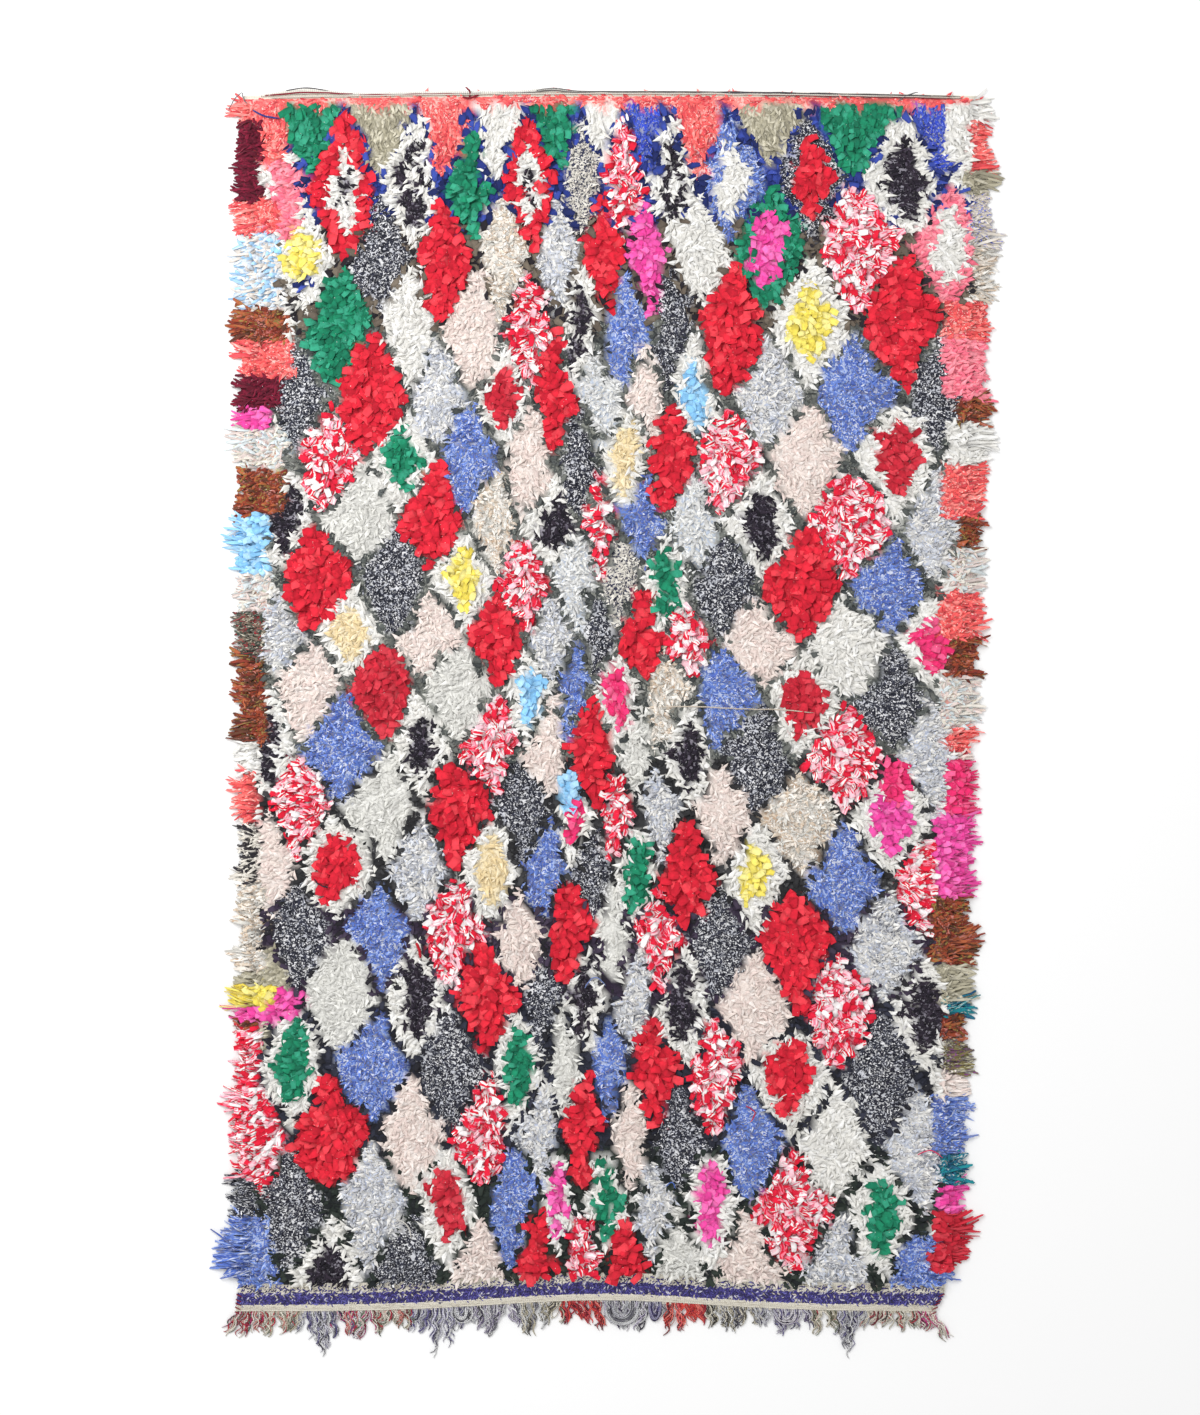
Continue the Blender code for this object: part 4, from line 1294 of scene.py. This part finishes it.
def stitchKnots(look):
    chance = np.random.default_rng(look["seed"])
    rows = []
    for number, (fromEdge, slant, pitch, reach, names) in enumerate(stitchRows):
        y0 = rugEnds["bandEdge"] + fromEdge
        x = np.arange(edgeAt("left", y0) + 0.006, edgeAt("right", y0) - 0.008, pitch)
        x = x + pitch * (number % 2) / 2 + chance.normal(0, 0.12, len(x)) * pitch
        y = y0 + bandRaise(x) + chance.normal(0, 0.0013, len(x)) + 0.0024 * noiseAt(0.05, number, x)
        tints = np.array([sceneTint(bandCloth[name]) for name in names.split()])
        tint = tints[chance.integers(0, len(tints), len(x))]
        tint[:, :3] *= chance.uniform(0.85, 1.12, (len(x), 1))
        rows.append({
            "place": spots(x, y - 0.004 * np.sin(slant), look["height"]),
            "heading": slant + chance.normal(0, 0.35, len(x)), "size": np.full((len(x), 3), reach),
            "chance": chance.uniform(0, 1, len(x)), "printShare": np.zeros(len(x)),
            "tint": tint, "printTint": tint,
        })
    return {key: np.concatenate([row[key] for row in rows]) for key in rows[0]}


stitchMaterial = ragMaterial("twined yarn", dict(clothFinish, fadeSize=30.0, creases=2.0))
stitches = scatterStrips("band_stitches", stitchKnots(bandStitches), bandStitches, stitchMaterial)

edgeYarns = {
    "seed": 71, "sides": 5, "weft": 0.0015, "step": 0.007, "height": 0.0044,
    "plainRows": [0.003, 0.0056, 0.0082, 0.0108, 0.0134, 0.0158],
    "whip": ((142, 30, 50), 5, 0.0085, 0.0012),  # the ends' whip stitches: colour, count, pitch, radius
    "hemFolds": [(-0.615, 0.062, 0.0125), (-0.12, 0.04, 0.006)],  # middle, half width, rise
    # hem threads: colour, from, to, how far below the hem's edge, radius, share of a fold's rise
    "hemThreads": [
        ((232, 228, 218), -0.7, 0.69, 0.0026, 0.0019, 0.3),
        ((222, 216, 204), -0.68, 0.7, 0.0062, 0.0017, 0.0),
        ((236, 233, 226), -0.7, -0.08, 0.0022, 0.003, 0.92),
        ((228, 223, 212), -0.7, -0.5, 0.0024, 0.003, 0.6),
        ((140, 26, 48), -0.692, -0.51, 0.0026, 0.0016, 0.42),
        ((140, 26, 48), -0.51, -0.29, 0.0052, 0.0014, 0.0),
        ((70, 66, 72), -0.65, -0.56, 0.0018, 0.0012, 1.02),
        ((104, 98, 100), -0.44, 0.64, 0.0052, 0.001, 0.8),
        ((96, 92, 96), -0.15, 0.42, 0.0022, 0.001, 1.0),
        ((84, 80, 86), 0.2, 0.7, 0.0032, 0.001, 0.0),
        ((122, 26, 44), 0.3, 0.7, 0.0082, 0.001, 0.0),
    ],
}


def edgeYarnPaths(look):
    chance = np.random.default_rng(look["seed"])
    found = []
    for number, fromEdge in enumerate(look["plainRows"]):
        y0 = rugEnds["bandEdge"] + fromEdge
        x = np.arange(edgeAt("left", y0) + 0.001, edgeAt("right", y0) - 0.001, look["step"])
        y = y0 + bandRaise(x) + 0.0006 * noiseAt(0.03, number, x)
        z = look["height"] + 0.0004 * np.sin(x / look["step"] * np.pi + number * np.pi)
        z = z - 0.0016 * (number == 0)
        tint = np.clip(np.array(bandCloth["cream"]) * chance.uniform(0.93, 1.02), 0, 255)
        found.append(yarn(spots(x, y, z), look["weft"], tint, bandCloth["shadow"], 0.25, chance.uniform()))
    tint, count, pitch, radius = look["whip"]
    for side, name in ((-1, "left"), (1, "right")):
        for number in range(count):
            y = rugEnds["bandEdge"] + 0.004 + pitch * number + chance.normal(0, 0.001)
            x = edgeAt(name, y)
            y = y + bandRaise(x)
            found.append(yarn([
                (x + side * 0.0012, y, 0.0016), (x + side * 0.0016, y - 0.001, 0.0048),
                (x - side * 0.004, y - 0.003, 0.0064), (x - side * 0.01, y - 0.006, 0.0056),
            ], radius, tint))
    for number, (tint, start, end, below, radius, share) in enumerate(look["hemThreads"]):
        x = np.arange(start, end, look["step"])
        y = hemLine(x, below) + 0.0016 * noiseAt(0.045, number + 20, x)
        for middle, half, rise in look["hemFolds"]:
            y = y + rise * share * bell(x, middle, half)
        z = look["height"] + 0.001 + 0.0008 * noiseAt(0.03, number + 40, x)
        z = z + 0.0024 * (radius < 0.0018)  # thin threads lie on the thick ones
        found.append(yarn(spots(x, y, z), radius, tint, (226, 222, 214), 0.12, chance.uniform()))
    return found


looseThreads = {
    "seed": 81, "sides": 4, "steps": 12, "above": 0.003,
    # colour, radius, start, end, how far it bows out
    "threads": [
        ((44, 60, 140), 0.0018, (-0.716, 1.222), (-0.662, 1.205), -0.004),
        ((142, 26, 46), 0.002, (-0.3, 1.25), (-0.262, 1.258), -0.006),
        ((142, 26, 46), 0.0018, (-0.284, 1.25), (-0.292, 1.268), -0.005),
        ((120, 118, 122), 0.001, (-0.764, 1.222), (-0.738, 1.258), 0.004),
        ((120, 118, 122), 0.001, (-0.738, 1.258), (-0.728, 1.236), -0.002),
        ((110, 108, 112), 0.0012, (0.572, 1.24), (0.612, 1.258), 0.004),
        ((120, 140, 200), 0.0012, (-0.053, -0.53), (-0.011, -0.526), 0.02),
        ((232, 228, 222), 0.0012, (0.381, -0.735), (0.355, -0.815), 0.012),
        ((240, 232, 230), 0.0011, (0.33, -0.76), (0.372, -0.742), 0.01),
        ((206, 40, 58), 0.0012, (0.268, -0.765), (0.276, -0.797), 0.014),
        ((84, 116, 200), 0.0012, (0.108, -0.925), (0.128, -0.93), 0.01),
        ((222, 208, 190), 0.0012, (0.1, 0.031), (0.262, 0.026), 0.003),
        ((216, 202, 184), 0.0012, (0.246, 0.027), (0.405, 0.019), 0.003),
        ((196, 28, 44), 0.003, (-0.39, -0.44), (-0.382, -0.47), 0.003),
        ((228, 70, 110), 0.0012, (0.61, -0.862), (0.66, -0.868), 0.012),
        ((40, 42, 60), 0.0013, (-0.6, -0.3), (-0.56, -0.33), -0.008),
        ((226, 222, 214), 0.0012, (-0.43, -0.99), (-0.4, -1.03), 0.01),
    ],
}


def looseThreadPaths(look):
    chance = np.random.default_rng(look["seed"])
    s = np.linspace(0, 1, look["steps"])
    found = []
    for number, (tint, radius, start, end, bow) in enumerate(look["threads"]):
        run, rise = end[0] - start[0], end[1] - start[1]
        out = bow * np.sin(np.pi * s) / math.hypot(run, rise)
        x = start[0] + run * s - rise * out + 0.0016 * noiseAt(0.2, number, s)
        y = start[1] + rise * s + run * out + 0.0016 * noiseAt(0.2, number + 30, s)
        z = cadTop(x, y) + look["above"] * (0.6 + 0.4 * np.sin(np.pi * s))
        found.append(yarn(spots(x, y, z), radius, tint, None, 0.0, chance.uniform()))
    return found


loosePiece = yarnPiece("loose_threads", looseThreadPaths(looseThreads), looseThreads["sides"], yarnLook)
edgeYarnPiece = yarnPiece("edge_yarns", edgeYarnPaths(edgeYarns), edgeYarns["sides"], yarnLook)

sceneLook = {
    "height": 7.0,
    "middle": (-0.023, 0.03),
    "frameHeight": 2.83,
    "floor": (0.95, 0.95, 0.95),
    "sky": 0.78,
    "lightPlace": (-2.4, 2.2, 3.4),
    "lightPower": 135.0,
    "lightSize": 2.4,
}


def addCamera(look):
    data = bpy.data.cameras.new("camera")
    camera = addObject("camera", data)
    camera.location = (*look["middle"], look["height"])
    data.sensor_fit = "VERTICAL"
    data.sensor_height = 36.0
    data.lens = data.sensor_height * look["height"] / look["frameHeight"]
    data.clip_end = 50.0
    bpy.context.scene.camera = camera


def addFloor(look):
    bpy.ops.mesh.primitive_plane_add(size=30.0, location=(0, 0, -0.0004))
    floor = bpy.context.object
    floor.name = "floor"
    material, maker, shader = newMaterial("studio floor", 0.9, 0.0)
    shader.inputs["Base Color"].default_value = (*look["floor"], 1.0)
    floor.data.materials.append(material)


def addLight(look):
    data = bpy.data.lights.new("key", "AREA")
    data.energy = look["lightPower"]
    data.shape = "SQUARE"
    data.size = look["lightSize"]
    light = addObject("key", data)
    light.location = look["lightPlace"]
    light.rotation_euler = (-light.location).to_track_quat("-Z", "Y").to_euler()


world = bpy.data.worlds.new("studio")
bpy.context.scene.world = world
world.use_nodes = True
background = world.node_tree.nodes["Background"]
background.inputs["Color"].default_value = (1, 1, 1, 1)
background.inputs["Strength"].default_value = sceneLook["sky"]
bpy.context.scene.view_settings.view_transform = "Standard"
addCamera(sceneLook)
addFloor(sceneLook)
addLight(sceneLook)

for piece in (ground, rim, *pilePieces, stitches, edgeYarnPiece, loosePiece):
    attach(piece, "root")
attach(fringePiece, "root")
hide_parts("rug")
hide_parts("fringe")
